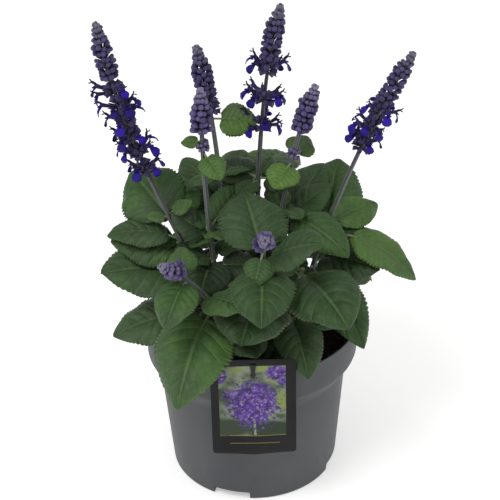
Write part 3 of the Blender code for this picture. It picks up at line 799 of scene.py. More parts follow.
def stem_tree():
    """A grooved square section swept along a path, with where it is kept for its material."""
    tree, given = geometry_tree("square_stem", {
        "Ridge": "Float", "Sides of section": "Int", "Material": "Material"})
    path = add_node(tree, "GeometryNodeMeshToCurve", {"Mesh": given["Geometry"]}).outputs[0]
    share = add_node(tree, "GeometryNodeSplineParameter").outputs["Factor"]
    path = keep_attribute(tree, path, "up_stem", share)
    section = add_node(tree, "GeometryNodeCurvePrimitiveCircle", {
        "Resolution": given["Sides of section"], "Radius": 1.0}).outputs[0]
    wave = maths(tree, "COSINE", maths(tree, "MULTIPLY", share, 4 * tau))
    section = keep_attribute(tree, section, "ridge", wave)
    swell = maths(tree, "ADD", 1.0, maths(tree, "MULTIPLY", wave, given["Ridge"]))
    at = add_node(tree, "GeometryNodeInputPosition").outputs[0]
    moved = vectors(tree, "SCALE", {0: at, "Scale": swell})
    section = add_node(tree, "GeometryNodeSetPosition", {
        "Geometry": section, "Position": moved}).outputs[0]
    swept = add_node(tree, "GeometryNodeCurveToMesh", {
        "Curve": path, "Profile Curve": section, "Scale": kept_attribute(tree, "radius_here"),
        "Fill Caps": True}).outputs[0]
    smooth = add_node(tree, "GeometryNodeSetShadeSmooth", {0: swept}).outputs[0]
    return finish_tree(tree, smooth, given["Material"])


def painted_value(tree, name):
    """For a material: a number kept on the piece's points, such as how far up the stem they are."""
    return add_node(tree, "ShaderNodeAttribute", attribute_name=name).outputs["Fac"]


def stem_look(name, low, high, ridge):
    """Downy stem, from its colour at the foot to its colour at the top, with paler ridges."""
    material, tree, shader = new_material(name, Roughness=0.55, Sheen_Weight=0.35,
                                          Sheen_Roughness=0.5)
    tint = mixed(tree, painted_value(tree, "up_stem"), low, high)
    mottle = ramp(tree, grain(tree, 120, 4, (1, 1, 0.3)), (0.35, grey(0.72)), (0.7, grey(1.15)))
    tint = mixed(tree, 1.0, tint, mottle, "MULTIPLY")
    corner = maths(tree, "MULTIPLY", painted_value(tree, "ridge"), 0.5)
    edge = ramp(tree, maths(tree, "ADD", corner, 0.5), (0.72, grey(0)), (0.98, grey(0.75)))
    surfaced(tree, shader, mixed(tree, edge, tint, ridge), grain(tree, 900, 3, (1, 1, 0.15)),
             0.0002)
    return material


SQUARE_STEM = stem_tree()
flower_stem_look = stem_look("flowering_stem", paint(74, 92, 60), paint(60, 60, 70),
                             paint(124, 128, 122))
rachis_look = stem_look("flower_axis", paint(46, 42, 54), paint(36, 30, 48), paint(92, 92, 98))
shoot_look = stem_look("leafy_stem", paint(70, 90, 50), paint(88, 110, 62), paint(122, 138, 96))


def swept_stem(name, rows, look, per_step=6, thicker=1.0):
    """A square stem through (centre, radius) rows, with per_step points from one to the next."""
    path, sizes = fine_path(rows, per_step)
    stem = bpy.data.objects.new(name, bpy.data.meshes.new(name))
    stem.data.from_pydata(path, [(index, index + 1) for index in range(len(path) - 1)], [])
    width = stem.data.attributes.new("radius_here", "FLOAT", "POINT")
    width.data.foreach_set("value", [size * thicker for size in sizes])
    scene.collection.objects.link(stem)
    run_tree(stem, SQUARE_STEM, {"Ridge": STEM_RIDGE, "Sides of section": STEM_SECTION_SIDES,
                                 "Material": look})
    faced_outwards(stem.data, join=0.001 * MM)
    return stem


STEM_ROWS = {node: tube_rings(node) for node in FLOWER_STEMS + LEAFY_STEMS}


def height_on(node, height):
    """The point on a stem's middle line at a height in millimetres."""
    rows = STEM_ROWS[node]
    levels = [centre.z for centre, _ in rows]
    return Vector([float(np.interp(height * MM, levels, [centre[axis] for centre, _ in rows]))
                   for axis in range(3)])


for node, rows in STEM_ROWS.items():
    look = flower_stem_look if node in FLOWER_STEMS else shoot_look
    stem = swept_stem("square_" + node, rows, look, thicker=STEM_SHARE_OF_SOLID)
    settle(stem, "stem", node)


# --- Flower spikes ------------------------------------------------------------------------------
# Whorls of downy violet calyces round the top of each flowering stem, crowded as closed beads at
# the tip. Lower whorls are open and push out two-lipped flowers of a strong blue violet.
def loft(path, widths, depths, sides=8):
    """A closed form along (x, z) points, wide along Y, with a point at each end of the path."""
    points, faces = [(path[0][0], 0, path[0][1])], []
    inner = path[1:-1]
    for index, (x, z) in enumerate(inner, start=1):
        (ax, az), (bx, bz) = path[index - 1], path[index + 1]
        along = Vector((bx - ax, 0, bz - az)).normalized()
        out = Vector((along.z, 0, -along.x))
        for side in range(sides):
            turn = tau * side / sides
            shift = out * depths[index - 1] * cos(turn)
            points.append((x + shift.x, widths[index - 1] * sin(turn), z + shift.z))
    points.append((path[-1][0], 0, path[-1][1]))
    for side in range(sides):
        after = (side + 1) % sides
        faces.append((0, 1 + after, 1 + side))
        for row in range(len(inner) - 1):
            near, far = 1 + row * sides, 1 + (row + 1) * sides
            faces.append((near + side, near + after, far + after, far + side))
        last = 1 + (len(inner) - 1) * sides
        faces.append((last + side, last + after, len(points) - 1))
    return points, faces


def flower_part(name, lofts):
    """One part from (path, widths, depths, tone) lofts in mm, with the tone kept as lip."""
    points, faces, tones = [], [], []
    for path, widths, depths, tone in lofts:
        more, more_faces = loft(path, widths, depths)
        faces += [tuple(index + len(points) for index in face) for face in more_faces]
        low, high = tone
        levels = [point[2] for point in more]
        foot, reach = min(levels), max(levels) - min(levels)
        tones += [low + (high - low) * (level - foot) / reach for level in levels]
        points += more
    part = mesh_piece(name, [tuple(value * MM for value in point) for point in points], faces)
    faced_outwards(part.data)
    lip = part.data.attributes.new("lip", "FLOAT", "POINT")
    lip.data.foreach_set("value", tones)
    part.data.shade_smooth()
    return part


closed_bead = flower_part("closed_bead", [
    ([(0, 0), (0.1, 1.2), (0.3, 3.4), (0.4, 5.6), (0.3, 6.9), (0.2, 7.3)],
     (1.0, 1.75, 2.15, 1.5), (0.95, 1.65, 2.05, 1.45), (0, 1))])
open_calyx = flower_part("open_calyx", [
    ([(0, 0), (0.1, 0.9), (0.2, 3.2), (0.3, 6.0), (0.3, 7.6), (0.3, 7.2), (0.2, 4.0)],
     (1.0, 1.85, 2.25, 2.3, 1.7), (0.95, 1.85, 2.25, 2.35, 1.7), (0, 1)),
    ([(1.7, 5.0), (2.1, 6.6), (2.4, 8.3), (2.5, 9.2)], (1.5, 1.0), (0.35, 0.25), (0.7, 1)),
    ([(-1.6, 5.2), (-1.9, 6.8), (-2.1, 8.0), (-2.1, 8.8)], (1.45, 0.95), (0.35, 0.25), (0.7, 1))])
two_lipped = flower_part("two_lipped_flower", [
    ([(0, 3), (0, 4), (0.1, 7.5), (0.4, 11.5), (0.6, 14.6), (0.6, 15)],
     (1.2, 1.4, 1.75, 2.0), (1.2, 1.4, 1.8, 2.0), (0.0, 0.45)),
    ([(1.2, 12.6), (1.9, 14.0), (2.7, 16.2), (3.3, 18.0), (3.5, 18.8)],
     (1.6, 1.6, 1.0), (0.8, 0.9, 0.6), (0.3, 0.12)),
    ([(-0.6, 12.8), (-1.8, 14.0), (-4.0, 15.4), (-6.8, 15.9), (-9.2, 15.0), (-9.9, 14.3)],
     (1.7, 3.6, 4.5, 3.0), (0.7, 0.6, 0.5, 0.4), (0.85, 1.0)),
    ([(-0.4, 13.4), (-0.8, 14.8), (-1.6, 16.2), (-2.2, 17.0)], (2.8, 1.8), (0.4, 0.3), (0.8, 0.9)),
    ([(3.0, 17.0), (4.2, 18.4), (4.8, 19.4), (5.0, 19.9)], (0.6, 0.5), (0.6, 0.5), (0.05, 0.05)),
    ([(2.2, 17.0), (1.7, 18.6), (1.2, 19.6), (1.0, 20.1)], (0.6, 0.5), (0.6, 0.5), (0.05, 0.05))])


def whorl_tree():
    """Copies of a flower part in a ring round each point of a stem, leaning out from it."""
    tree, given = geometry_tree("whorls", {
        "Flower": "Object", "In a whorl": "Int", "Chance": "Float", "Unevenness": "Float",
        "Seed": "Int", "Material": "Material"})
    uneven, seed = given["Unevenness"], given["Seed"]

    def unevenly(low, high, offset):
        return maths(tree, "MULTIPLY", random_between(tree, low, high, seed, offset), uneven)

    dealt = add_node(tree, "GeometryNodeDuplicateElements", {
        "Geometry": given["Geometry"], "Amount": given["In a whorl"]}, domain="POINT")
    step = maths(tree, "DIVIDE", tau, given["In a whorl"])
    turn = maths(tree, "MULTIPLY", dealt.outputs["Duplicate Index"], step)
    turn = maths(tree, "ADD", turn, kept_attribute(tree, "first_turn"))
    turn = maths(tree, "ADD", turn, unevenly(-0.5, 0.5, 1))
    axis = kept_attribute(tree, "stem_way", "FLOAT_VECTOR")
    side = vectors(tree, "CROSS_PRODUCT", {0: axis, 1: (0.3, 1.0, 0.1)})
    side = vectors(tree, "NORMALIZE", {0: side})
    out = add_node(tree, "ShaderNodeVectorRotate", {"Vector": side, "Axis": axis, "Angle": turn},
                   rotation_type="AXIS_ANGLE").outputs[0]
    lean = maths(tree, "ADD", kept_attribute(tree, "lean"), unevenly(-0.5, 0.5, 2))
    outward = vectors(tree, "SCALE", {0: out, "Scale": maths(tree, "SINE", lean)})
    upward = vectors(tree, "SCALE", {0: axis, "Scale": maths(tree, "COSINE", lean)})
    aim = vectors(tree, "ADD", {0: outward, 1: upward})
    foot = vectors(tree, "SCALE", {0: out, "Scale": kept_attribute(tree, "foot_reach")})
    slid = vectors(tree, "SCALE", {0: axis, "Scale": unevenly(-3 * MM, 3 * MM, 3)})
    placed = add_node(tree, "GeometryNodeSetPosition", {
        "Geometry": dealt.outputs[0], "Offset": vectors(tree, "ADD", {0: foot, 1: slid})})
    facing = add_node(tree, "FunctionNodeAlignRotationToVector", {"Vector": aim}, axis="Z")
    facing = add_node(tree, "FunctionNodeAlignRotationToVector", {
        "Rotation": facing.outputs[0], "Vector": axis}, axis="X", pivot_axis="Z")
    size = maths(tree, "MULTIPLY", kept_attribute(tree, "size"),
                 random_between(tree, 0.86, 1.12, seed, 4))
    grows = maths(tree, "LESS_THAN", random_between(tree, 0.0, 1.0, seed, 5), given["Chance"])
    flower = add_node(tree, "GeometryNodeObjectInfo", {"Object": given["Flower"]})
    stood = add_node(tree, "GeometryNodeInstanceOnPoints", {
        "Points": placed.outputs[0], "Selection": grows, "Instance": flower.outputs["Geometry"],
        "Rotation": facing.outputs[0], "Scale": size})
    toned = keep_attribute(tree, stood.outputs[0], "own_tone",
                           random_between(tree, 0.0, 1.0, seed, 6), "INSTANCE")
    return finish_tree(tree, toned, given["Material"])


WHORLS = whorl_tree()


def calyx_look(name, foot, middle, tip, down, crown):
    """Downy calyx: its colour from foot to tip, its down, and the paler down of new beads."""
    material, tree, shader = new_material(name, Roughness=0.8, Sheen_Weight=0.3,
                                          Sheen_Roughness=0.45, Sheen_Tint=paint(196, 188, 214))
    lip = painted_value(tree, "lip")
    tint = ramp(tree, lip, (0.0, foot), (0.45, middle), (1.0, tip))
    shade = ramp(tree, painted_value(tree, "own_tone"), (0.0, paint(176, 168, 190)),
                 (0.5, paint(214, 206, 230)), (1.0, paint(255, 250, 255)))
    tint = mixed(tree, 1.0, tint, shade, "MULTIPLY")
    fluff = ramp(tree, grain(tree, 1500, 3), (0.45, grey(0)), (0.75, grey(0.5)))
    tint = mixed(tree, fluff, tint, down)
    newest = maths(tree, "ADD", 0.25, maths(tree, "MULTIPLY", lip, 0.6))
    newest = maths(tree, "MULTIPLY", painted_value(tree, "youth"), newest)
    surfaced(tree, shader, mixed(tree, newest, tint, crown), grain(tree, 2200, 3), 0.0004)
    return material


ripe_calyx = calyx_look("ripe_calyx", paint(32, 26, 44), paint(42, 31, 76), paint(66, 54, 108),
                        paint(104, 97, 134), paint(124, 122, 130))
young_calyx = calyx_look("young_calyx", paint(42, 36, 62), paint(56, 46, 96), paint(86, 75, 128),
                         paint(130, 122, 156), paint(142, 134, 156))

petal_look, tree, shader = new_material("violet_petal", Roughness=0.6, Specular_IOR_Level=0.25)
tint = ramp(tree, painted_value(tree, "lip"), (0.0, paint(26, 16, 40)), (0.12, paint(38, 26, 62)),
            (0.42, paint(56, 40, 108)), (0.80, paint(32, 6, 118)), (1.0, paint(42, 8, 158)))
shade = ramp(tree, painted_value(tree, "own_tone"), (0.0, paint(150, 140, 170)),
             (1.0, paint(255, 255, 255)))
tint = mixed(tree, 1.0, tint, shade, "MULTIPLY")
veins = ramp(tree, grain(tree, 700, 2, (1, 1, 0.4)), (0.4, grey(0.75)), (0.7, grey(1.1)))
tint = mixed(tree, 1.0, tint, veins, "MULTIPLY")
surfaced(tree, shader, tint, grain(tree, 1600, 2), 0.0002)

# Each spike, in mm: how far its closed beads reach down from the tip, how far down each open whorl
# is, and the share of the calyces there that are in flower.
SPIKES = {
    "flower_spike_1": (50, (62, 75, 89, 104, 120, 137), 0.5),
    "flower_spike_2": (44, (50, 58), 0.0),
    "flower_spike_3": (44, (), 0.0),
    "flower_spike_4": (50, (57, 84, 110), 0.8),
    "flower_spike_5": (46, (), 0.0),
    "flower_spike_6": (50, (59, 74, 92), 0.7),
    "flower_spike_7": (30, (), 0.0),
    "flower_spike_8": (30, (), 0.0),
}
YOUNG_SPIKES = ("flower_spike_3", "flower_spike_5", "flower_spike_7", "flower_spike_8")
# A first small whorl stands alone below two of the young spikes, at these heights in mm.
LONE_WHORLS = {"flower_spike_3": 322, "flower_spike_5": 300}
BEAD_ROW = 4.6
FIRST_BEADS = 4.0
BEADS_FULL_AT = 22
YOUTH_REACH = 26
BEADS_ROUND = 9
CALYCES_ROUND = 7
AXIS_RADIUS, AXIS_TIP_RADIUS = 1.9 * MM, 0.9 * MM


def whorl_points(name, whorls):
    """A point to each whorl, with what its ring of flowers needs kept on it."""
    piece = mesh_piece(name, [whorl["at"] for whorl in whorls], [])
    for key in ("stem_way", "first_turn", "lean", "foot_reach", "size", "youth"):
        kind, field = ("FLOAT_VECTOR", "vector") if key == "stem_way" else ("FLOAT", "value")
        kept = piece.data.attributes.new(key, kind, "POINT")
        values = np.array([whorl[key] for whorl in whorls], dtype=np.float32)
        kept.data.foreach_set(field, values.ravel())
    return piece


def whorl_at(path, distance, **values):
    """A whorl on a spike's (place, mm from the tip) path, with its place, way and youth."""
    steps = [step for _, step in path]
    spots = [np.interp([distance, distance + 1.0], steps, [place[axis] for place, _ in path])
             for axis in range(3)]
    at, below = Vector([spot[0] for spot in spots]), Vector([spot[1] for spot in spots])
    youth = max(0.0, 1 - distance / YOUTH_REACH) ** 1.3
    return {"at": at, "stem_way": (at - below).normalized(), "youth": youth} | values


def bead_whorls(path, closed_to, fullest):
    """Rows of closed beads from the tip down, opening out as they grow."""
    whorls = []
    distance = FIRST_BEADS
    while distance < min(closed_to, path[-1][1] - 2):
        grown = min(1.0, distance / BEADS_FULL_AT)
        whorls.append(whorl_at(path, distance + 2.0, first_turn=len(whorls) * 0.42,
                               lean=radians(22 + 36 * grown), foot_reach=(0.2 + 2.0 * grown) * MM,
                               size=(0.66 + 0.48 * grown) * min(1.0, fullest / 10)))
        distance += BEAD_ROW * (0.8 + 0.35 * grown)
    return whorls


def lone_whorl(stem, height):
    """Two close rings of small beads on a stem at this height."""
    for shift, spread in ((0, 48), (-2.5, 80)):
        at = height_on(stem, height + shift)
        way = (height_on(stem, height + 4) - at).normalized()
        yield {"at": at, "stem_way": way, "youth": 0.3, "first_turn": 0.4 + shift,
               "lean": radians(spread), "foot_reach": 1.6 * MM, "size": 0.72}


def shifted(whorl, along, turn, lean, size):
    """A copy of a whorl, moved along its stem in mm and turned past it, with its own lean."""
    return whorl | {"at": whorl["at"] + whorl["stem_way"] * along * MM, "lean": radians(lean),
                    "first_turn": whorl["first_turn"] + turn, "size": size}


for seed, (node, (closed_to, open_at, flowering)) in enumerate(SPIKES.items(), start=3):
    look = young_calyx if node in YOUNG_SPIKES else ripe_calyx
    rows = tube_rings(node)
    taper = (AXIS_RADIUS - AXIS_TIP_RADIUS) / len(rows)
    rachis = [(centre, AXIS_RADIUS - taper * index) for index, (centre, _) in enumerate(rows)]
    settle(swept_stem(node + "_axis", rachis, rachis_look, per_step=2), "stem")
    path = [(rows[-1][0], 0.0)]
    for centre, _ in rows[-2::-1]:
        path.append((centre, path[-1][1] + (centre - path[-1][0]).length / MM))

    def whorled(part_name, whorls, flower, number, chance, unevenness, finish):
        """One piece with a ring of flower parts round each whorl's point."""
        piece = whorl_points(node + part_name, whorls)
        return run_tree(piece, WHORLS, {
            "Flower": flower, "In a whorl": number, "Chance": chance, "Unevenness": unevenness,
            "Seed": seed, "Material": finish})

    closed = bead_whorls(path, closed_to, max(reach for _, reach in rows) / MM)
    if node in LONE_WHORLS:
        closed += lone_whorl(node.replace("spike", "stem"), LONE_WHORLS[node])
    crown = [whorl_at(path, 5.5, first_turn=0.3, lean=radians(9), foot_reach=0.9 * MM, size=0.66)]
    settle(whorled("_beads", closed, closed_bead, BEADS_ROUND, 1.0, 0.35, look), "calyx", node)
    settle(whorled("_crown", crown, closed_bead, 4, 1.0, 0.2, look), "calyx")
    opened = [whorl_at(path, distance, first_turn=row * 0.5, lean=radians(64 + 6 * (row % 2)),
                       foot_reach=1.3 * MM, size=1.0) for row, distance in enumerate(open_at)]
    if opened:
        below = [shifted(whorl, -3.5, 0.45, 86, 0.92) for whorl in opened]
        above = [shifted(whorl, 2.5, 0.2, 42, 0.85) for whorl in opened]
        settle(whorled("_calyces", opened + below + above, open_calyx, CALYCES_ROUND, 0.92, 0.5,
                       look), "calyx")
    if flowering:
        settle(whorled("_flowers", opened, two_lipped, CALYCES_ROUND, flowering, 0.5, petal_look),
               "calyx")
for part in (closed_bead, open_calyx, two_lipped):
    bpy.data.objects.remove(part)


# --- Leaves -------------------------------------------------------------------------------------
# Ovate sage leaves on short stalks. The blade is quilted between its side veins, with a
# round-toothed margin, a mid-green face and a downy, paler underside on which the veins stand out.
# A pale band along the margin is a painted highlight, where light catches the leaf's edge.
VEIN_PAIRS = 7.0
VEIN_LEAN = 0.26
CROSS_VEINS = 5.0


def vein_and_edge_highlight_group():
    """Shader group: the leaf's midrib, side veins and quilting, from its own blade map, and a
    painted highlight along its margin.
    """
    group, given = new_group(
        "leaf_veins", "ShaderNodeTree", dict.fromkeys(("Pairs", "Lean", "Cross veins"), "Float"),
        dict.fromkeys(("Midrib", "Side veins", "Network", "Margin"), "Float"))
    blade = add_node(group, "ShaderNodeUVMap", uv_map="blade").outputs[0]
    axes = add_node(group, "ShaderNodeSeparateXYZ", {0: blade}).outputs
    off = maths(group, "SUBTRACT", maths(group, "MULTIPLY", axes["X"], 2), 1)
    off = maths(group, "ABSOLUTE", off)
    phase = maths(group, "SUBTRACT", axes["Y"], maths(group, "MULTIPLY", off, given["Lean"]))
    phase = maths(group, "MULTIPLY", phase, given["Pairs"])
    side = maths(group, "MULTIPLY", maths(group, "PINGPONG", phase, 0.5), 2)
    cell = maths(group, "MULTIPLY", maths(group, "FLOOR", phase), 0.37)
    cross = maths(group, "ADD", maths(group, "MULTIPLY", off, given["Cross veins"]), cell)
    cross = maths(group, "MULTIPLY", maths(group, "PINGPONG", cross, 0.5), 2)
    midrib = ramp(group, off, (0.0, grey(1)), (0.028, grey(0.8)), (0.055, grey(0)))
    sides = ramp(group, side, (0.0, grey(1)), (0.12, grey(0.6)), (0.24, grey(0)))
    crosses = ramp(group, cross, (0.0, grey(0.6)), (0.2, grey(0)))
    fine = add_node(group, "ShaderNodeTexVoronoi", {
        "Vector": add_node(group, "ShaderNodeTexCoord").outputs["Object"], "Scale": 520.0},
        feature="DISTANCE_TO_EDGE").outputs[0]
    fine = ramp(group, fine, (0.0, grey(0.5)), (0.16, grey(0)))
    network = maths(group, "MAXIMUM", crosses, fine)
    # A pale band at the blade's edge: a painted highlight where light catches the margin.
    margin = ramp(group, off, (0.93, grey(0)), (1.0, grey(1)))
    return give_out(group, {"Midrib": midrib, "Side veins": sides, "Network": network,
                            "Margin": margin})


VEIN_AND_EDGE_HIGHLIGHT_GROUP = vein_and_edge_highlight_group()


def leaf_look(name, young, middle, old, dull, vein_and_edge_highlight, sheen, depth, shares, relief_way):
    """A leaf's face or underside, coloured by age; the shares say how far the veins and the painted
    edge highlight show.
    """
    material, tree, shader = new_material(name, Specular_IOR_Level=0.36, Sheen_Weight=sheen,
                                          Sheen_Roughness=0.5)
    veins = add_node(tree, "ShaderNodeGroup", {
        "Pairs": VEIN_PAIRS, "Lean": VEIN_LEAN, "Cross veins": CROSS_VEINS},
        node_tree=VEIN_AND_EDGE_HIGHLIGHT_GROUP).outputs
    drift = maths(tree, "MULTIPLY", maths(tree, "SUBTRACT", grain(tree, 42, 3), 0.5), 0.5)
    age = maths(tree, "ADD", painted_value(tree, "leaf_age"), drift)
    tint = ramp(tree, age, (0.05, young), (0.45, middle), (0.9, old))
    dulled = ramp(tree, grain(tree, 17, 2), (0.46, grey(0)), (0.66, grey(0.55)))
    tint = mixed(tree, dulled, tint, dull)
    patch = ramp(tree, grain(tree, 260, 4), (0.3, grey(0.78)), (0.7, grey(1.14)))
    tint = mixed(tree, 1.0, tint, patch, "MULTIPLY")
    # The margin share paints a highlight along the leaf's edge in the pale veins' colour.
    for part, share in zip(("Network", "Side veins", "Midrib", "Margin"), shares):
        tint = mixed(tree, maths(tree, "MULTIPLY", veins[part], share), tint, vein_and_edge_highlight)
    rough = maths(tree, "ADD", 0.40, maths(tree, "MULTIPLY", grain(tree, 300, 3), 0.22))
    tree.links.new(rough, shader.inputs["Roughness"])
    relief = maths(tree, "MULTIPLY", veins["Network"], 0.5)
    relief = maths(tree, "MULTIPLY", maths(tree, "ADD", veins["Side veins"], relief), relief_way)
    relief = maths(tree, "ADD", relief, maths(tree, "MULTIPLY", grain(tree, 1400, 3), 0.5))
    surfaced(tree, shader, tint, relief, depth)
    return material


# The last of each look's four shares is the painted highlight along the margin.
leaf_face = leaf_look("leaf_face", paint(92, 126, 50), paint(48, 82, 32), paint(22, 44, 17),
                      paint(66, 84, 60), paint(98, 122, 74), 0.03, 0.0003,
                      (0.12, 0.20, 0.55, 0.35), -1.0)
leaf_under = leaf_look("leaf_underside", paint(104, 120, 76), paint(84, 100, 68), paint(62, 78, 52),
                       paint(96, 108, 86), paint(128, 140, 104), 0.15, 0.0007,
                       (0.30, 0.55, 0.8, 0.35), 1.0)
stalk_look = grained_look(
    "leaf_stalk", (90, 3), ((0.3, paint(104, 122, 78)), (0.7, paint(132, 148, 102))),
    (1200, 2), 0.0002, Roughness=0.5, Sheen_Weight=0.3)

# How far along the blade each of a leaf solid's sections stands, as a share of its length.
SECTION_SHARES = (0.05, 0.15, 0.30, 0.47, 0.64, 0.80, 0.93)
SECTION_POINTS = 8
WIDEST = 0.36
BASE_POWER = 0.46
TIP_POWER = BASE_POWER * (1 - WIDEST) / WIDEST
SHAPE_PEAK = WIDEST ** BASE_POWER * (1 - WIDEST) ** TIP_POWER


def blade_shape(share):
    """Half width of the blade as a share of its widest, along its length."""
    return share ** BASE_POWER * (1 - share) ** TIP_POWER / SHAPE_PEAK


def read_leaf(node):
    """A leaf solid's stalk end and tip, its sections' centres and ways across, and half width."""
    shape = joined_shape(node)
    shape.verts.index_update()
    for pole in shape.verts:
        if len(pole.link_edges) == SECTION_POINTS:
            layers = layers_from([pole])
            if all(len(layer) == SECTION_POINTS for layer in layers[1:]):
                break
    tip = pole.co.copy()
    stalk_end = sum((vertex.co for vertex in layers[-1]), Vector()) / SECTION_POINTS
    sections = []
    for layer in layers[1:-2]:
        spots = [vertex.co for vertex in layer]
        first, second = max(((a, b) for a in spots for b in spots),
                            key=lambda pair: (pair[0] - pair[1]).length)
        across = (first - second).normalized()
        half = (first - second).length / 2
        others = [point for point in spots if point not in (first, second)]
        rise = sum(others, Vector()) / len(others) - (first + second) / 2
        rise -= across * rise.dot(across)
        sections.append([(first + second) / 2, across, half, rise.normalized()])
    sections.reverse()
    shape.free()
    for index, section in enumerate(sections):
        after = sections[index + 1][0] if index + 1 < len(sections) else tip
        forward = after - section[0]
        if section[1].cross(forward).dot(section[3]) < 0:
            section[1] = -section[1]
        section[0] = section[0] + section[3] * section[2] * 0.10
    width = max(section[2] / blade_shape(share)
                for section, share in zip(sections, SECTION_SHARES))
    return {"centres": [section[0] for section in sections], "tip": tip,
            "across": [section[1] for section in sections], "half": width, "stalk_end": stalk_end}


BLADE_THICK = 0.4 * MM
QUILT_HEIGHT = 1.7 * MM
RIPPLE_HEIGHT = 2.0 * MM
RIB_SIDES = 8
FACE, UNDERSIDE, STALK = range(3)


def blade_line(leaf):
    """A smooth line along the blade's middle: its cubic, and the ways across and up at a share."""
    shares = np.array(SECTION_SHARES + (1.0,))
    curve = np.polyfit(shares, np.array([*leaf["centres"], leaf["tip"]]), 3)
    slope = np.array([3 * curve[0], 2 * curve[1], curve[2]])
    across_rows = np.array(leaf["across"] + [leaf["across"][-1]])

    def middle_at(share):
        return curve[0] * share ** 3 + curve[1] * share ** 2 + curve[2] * share + curve[3]

    def at(share):
        share = np.asarray(share, float)[..., None]
        forward = slope[0] * share ** 2 + slope[1] * share + slope[2]
        forward /= np.linalg.norm(forward, axis=-1, keepdims=True)
        flat = share[..., 0]
        across = np.stack([np.interp(flat, shares, across_rows[:, axis]) for axis in range(3)], -1)
        across -= forward * (across * forward).sum(-1, keepdims=True)
        across /= np.linalg.norm(across, axis=-1, keepdims=True)
        return middle_at(share), forward, across, np.cross(across, forward)

    starts = np.linspace(-0.9, 0.0, 200)[:, None]
    off = ((middle_at(starts) - np.array(leaf["stalk_end"])) ** 2).sum(1)
    return at, float(starts[np.argmin(off), 0])


def toothed_reach(v_map, u_map, half, rows, seed):
    """How far across from the midrib each point lies, with round teeth along the margin."""
    tooth = np.sin(pi * rows / 4 * v_map + 0.6 * np.sin(v_map * 19 + seed + u_map * 2))
    depth = (0.085 + 0.035 * np.sin(v_map * 13 + seed)) * (u_map ** 2) ** 4
    return half * blade_shape(v_map) * (1 + depth * (np.abs(tooth) ** 0.7 - 0.45)) * u_map


def quilted_level(v_map, u_map, half, seed, quilted):
    """How high each point stands: the blade's arch, its quilting between veins and its ripple."""
    side = np.abs(u_map)
    phase = (v_map - VEIN_LEAN * side) * VEIN_PAIRS
    pucker = 0.5 + 0.5 * np.sin(v_map * 31 + np.sin(u_map * 9 + seed) * 2.2 + seed)
    between_veins = 1 - np.abs(np.mod(phase, 1.0) * 2 - 1)
    cross = side * CROSS_VEINS + np.floor(phase) * 0.37
    between_cross = 1 - np.abs(np.mod(cross, 1.0) * 2 - 1)
    fade = np.clip((1 - side) * 5, 0, 1) * np.clip(side * 7, 0, 1) * np.clip((1 - v_map) * 5, 0, 1)
    quilt = between_veins ** 0.6 * (0.55 + 0.25 * between_cross ** 0.6 + 0.25 * pucker) * fade
    level = half * blade_shape(v_map) * (0.84 * side * (1 - side) - 0.10 * side)
    level += quilt * quilted * QUILT_HEIGHT * (half / (30 * MM))
    ripple = np.sin(v_map * 11 + seed) * 0.6 + np.sin(v_map * 23 + seed * 1.7) * 0.35
    return level + ripple * side ** 2.2 * RIPPLE_HEIGHT * (half / (25 * MM))


def blade_faces(rows, columns, upper_at, lower_at, base_pole, tip_pole):
    """The faces of a blade's upper and lower sheets, closed at its base and tip."""
    faces = []
    for row in range(rows - 2):
        for column in range(columns):
            faces.append((upper_at(row, column), upper_at(row, column + 1),
                          upper_at(row + 1, column + 1), upper_at(row + 1, column)))
            faces.append((lower_at(row, column), lower_at(row + 1, column),
                          lower_at(row + 1, column + 1), lower_at(row, column + 1)))
    last = rows - 2
    for column in range(columns):
        after = column + 1
        faces += [(base_pole, upper_at(0, after), upper_at(0, column)),
                  (base_pole, lower_at(0, column), lower_at(0, after)),
                  (tip_pole, upper_at(last, column), upper_at(last, after)),
                  (tip_pole, lower_at(last, after), lower_at(last, column))]
    return faces


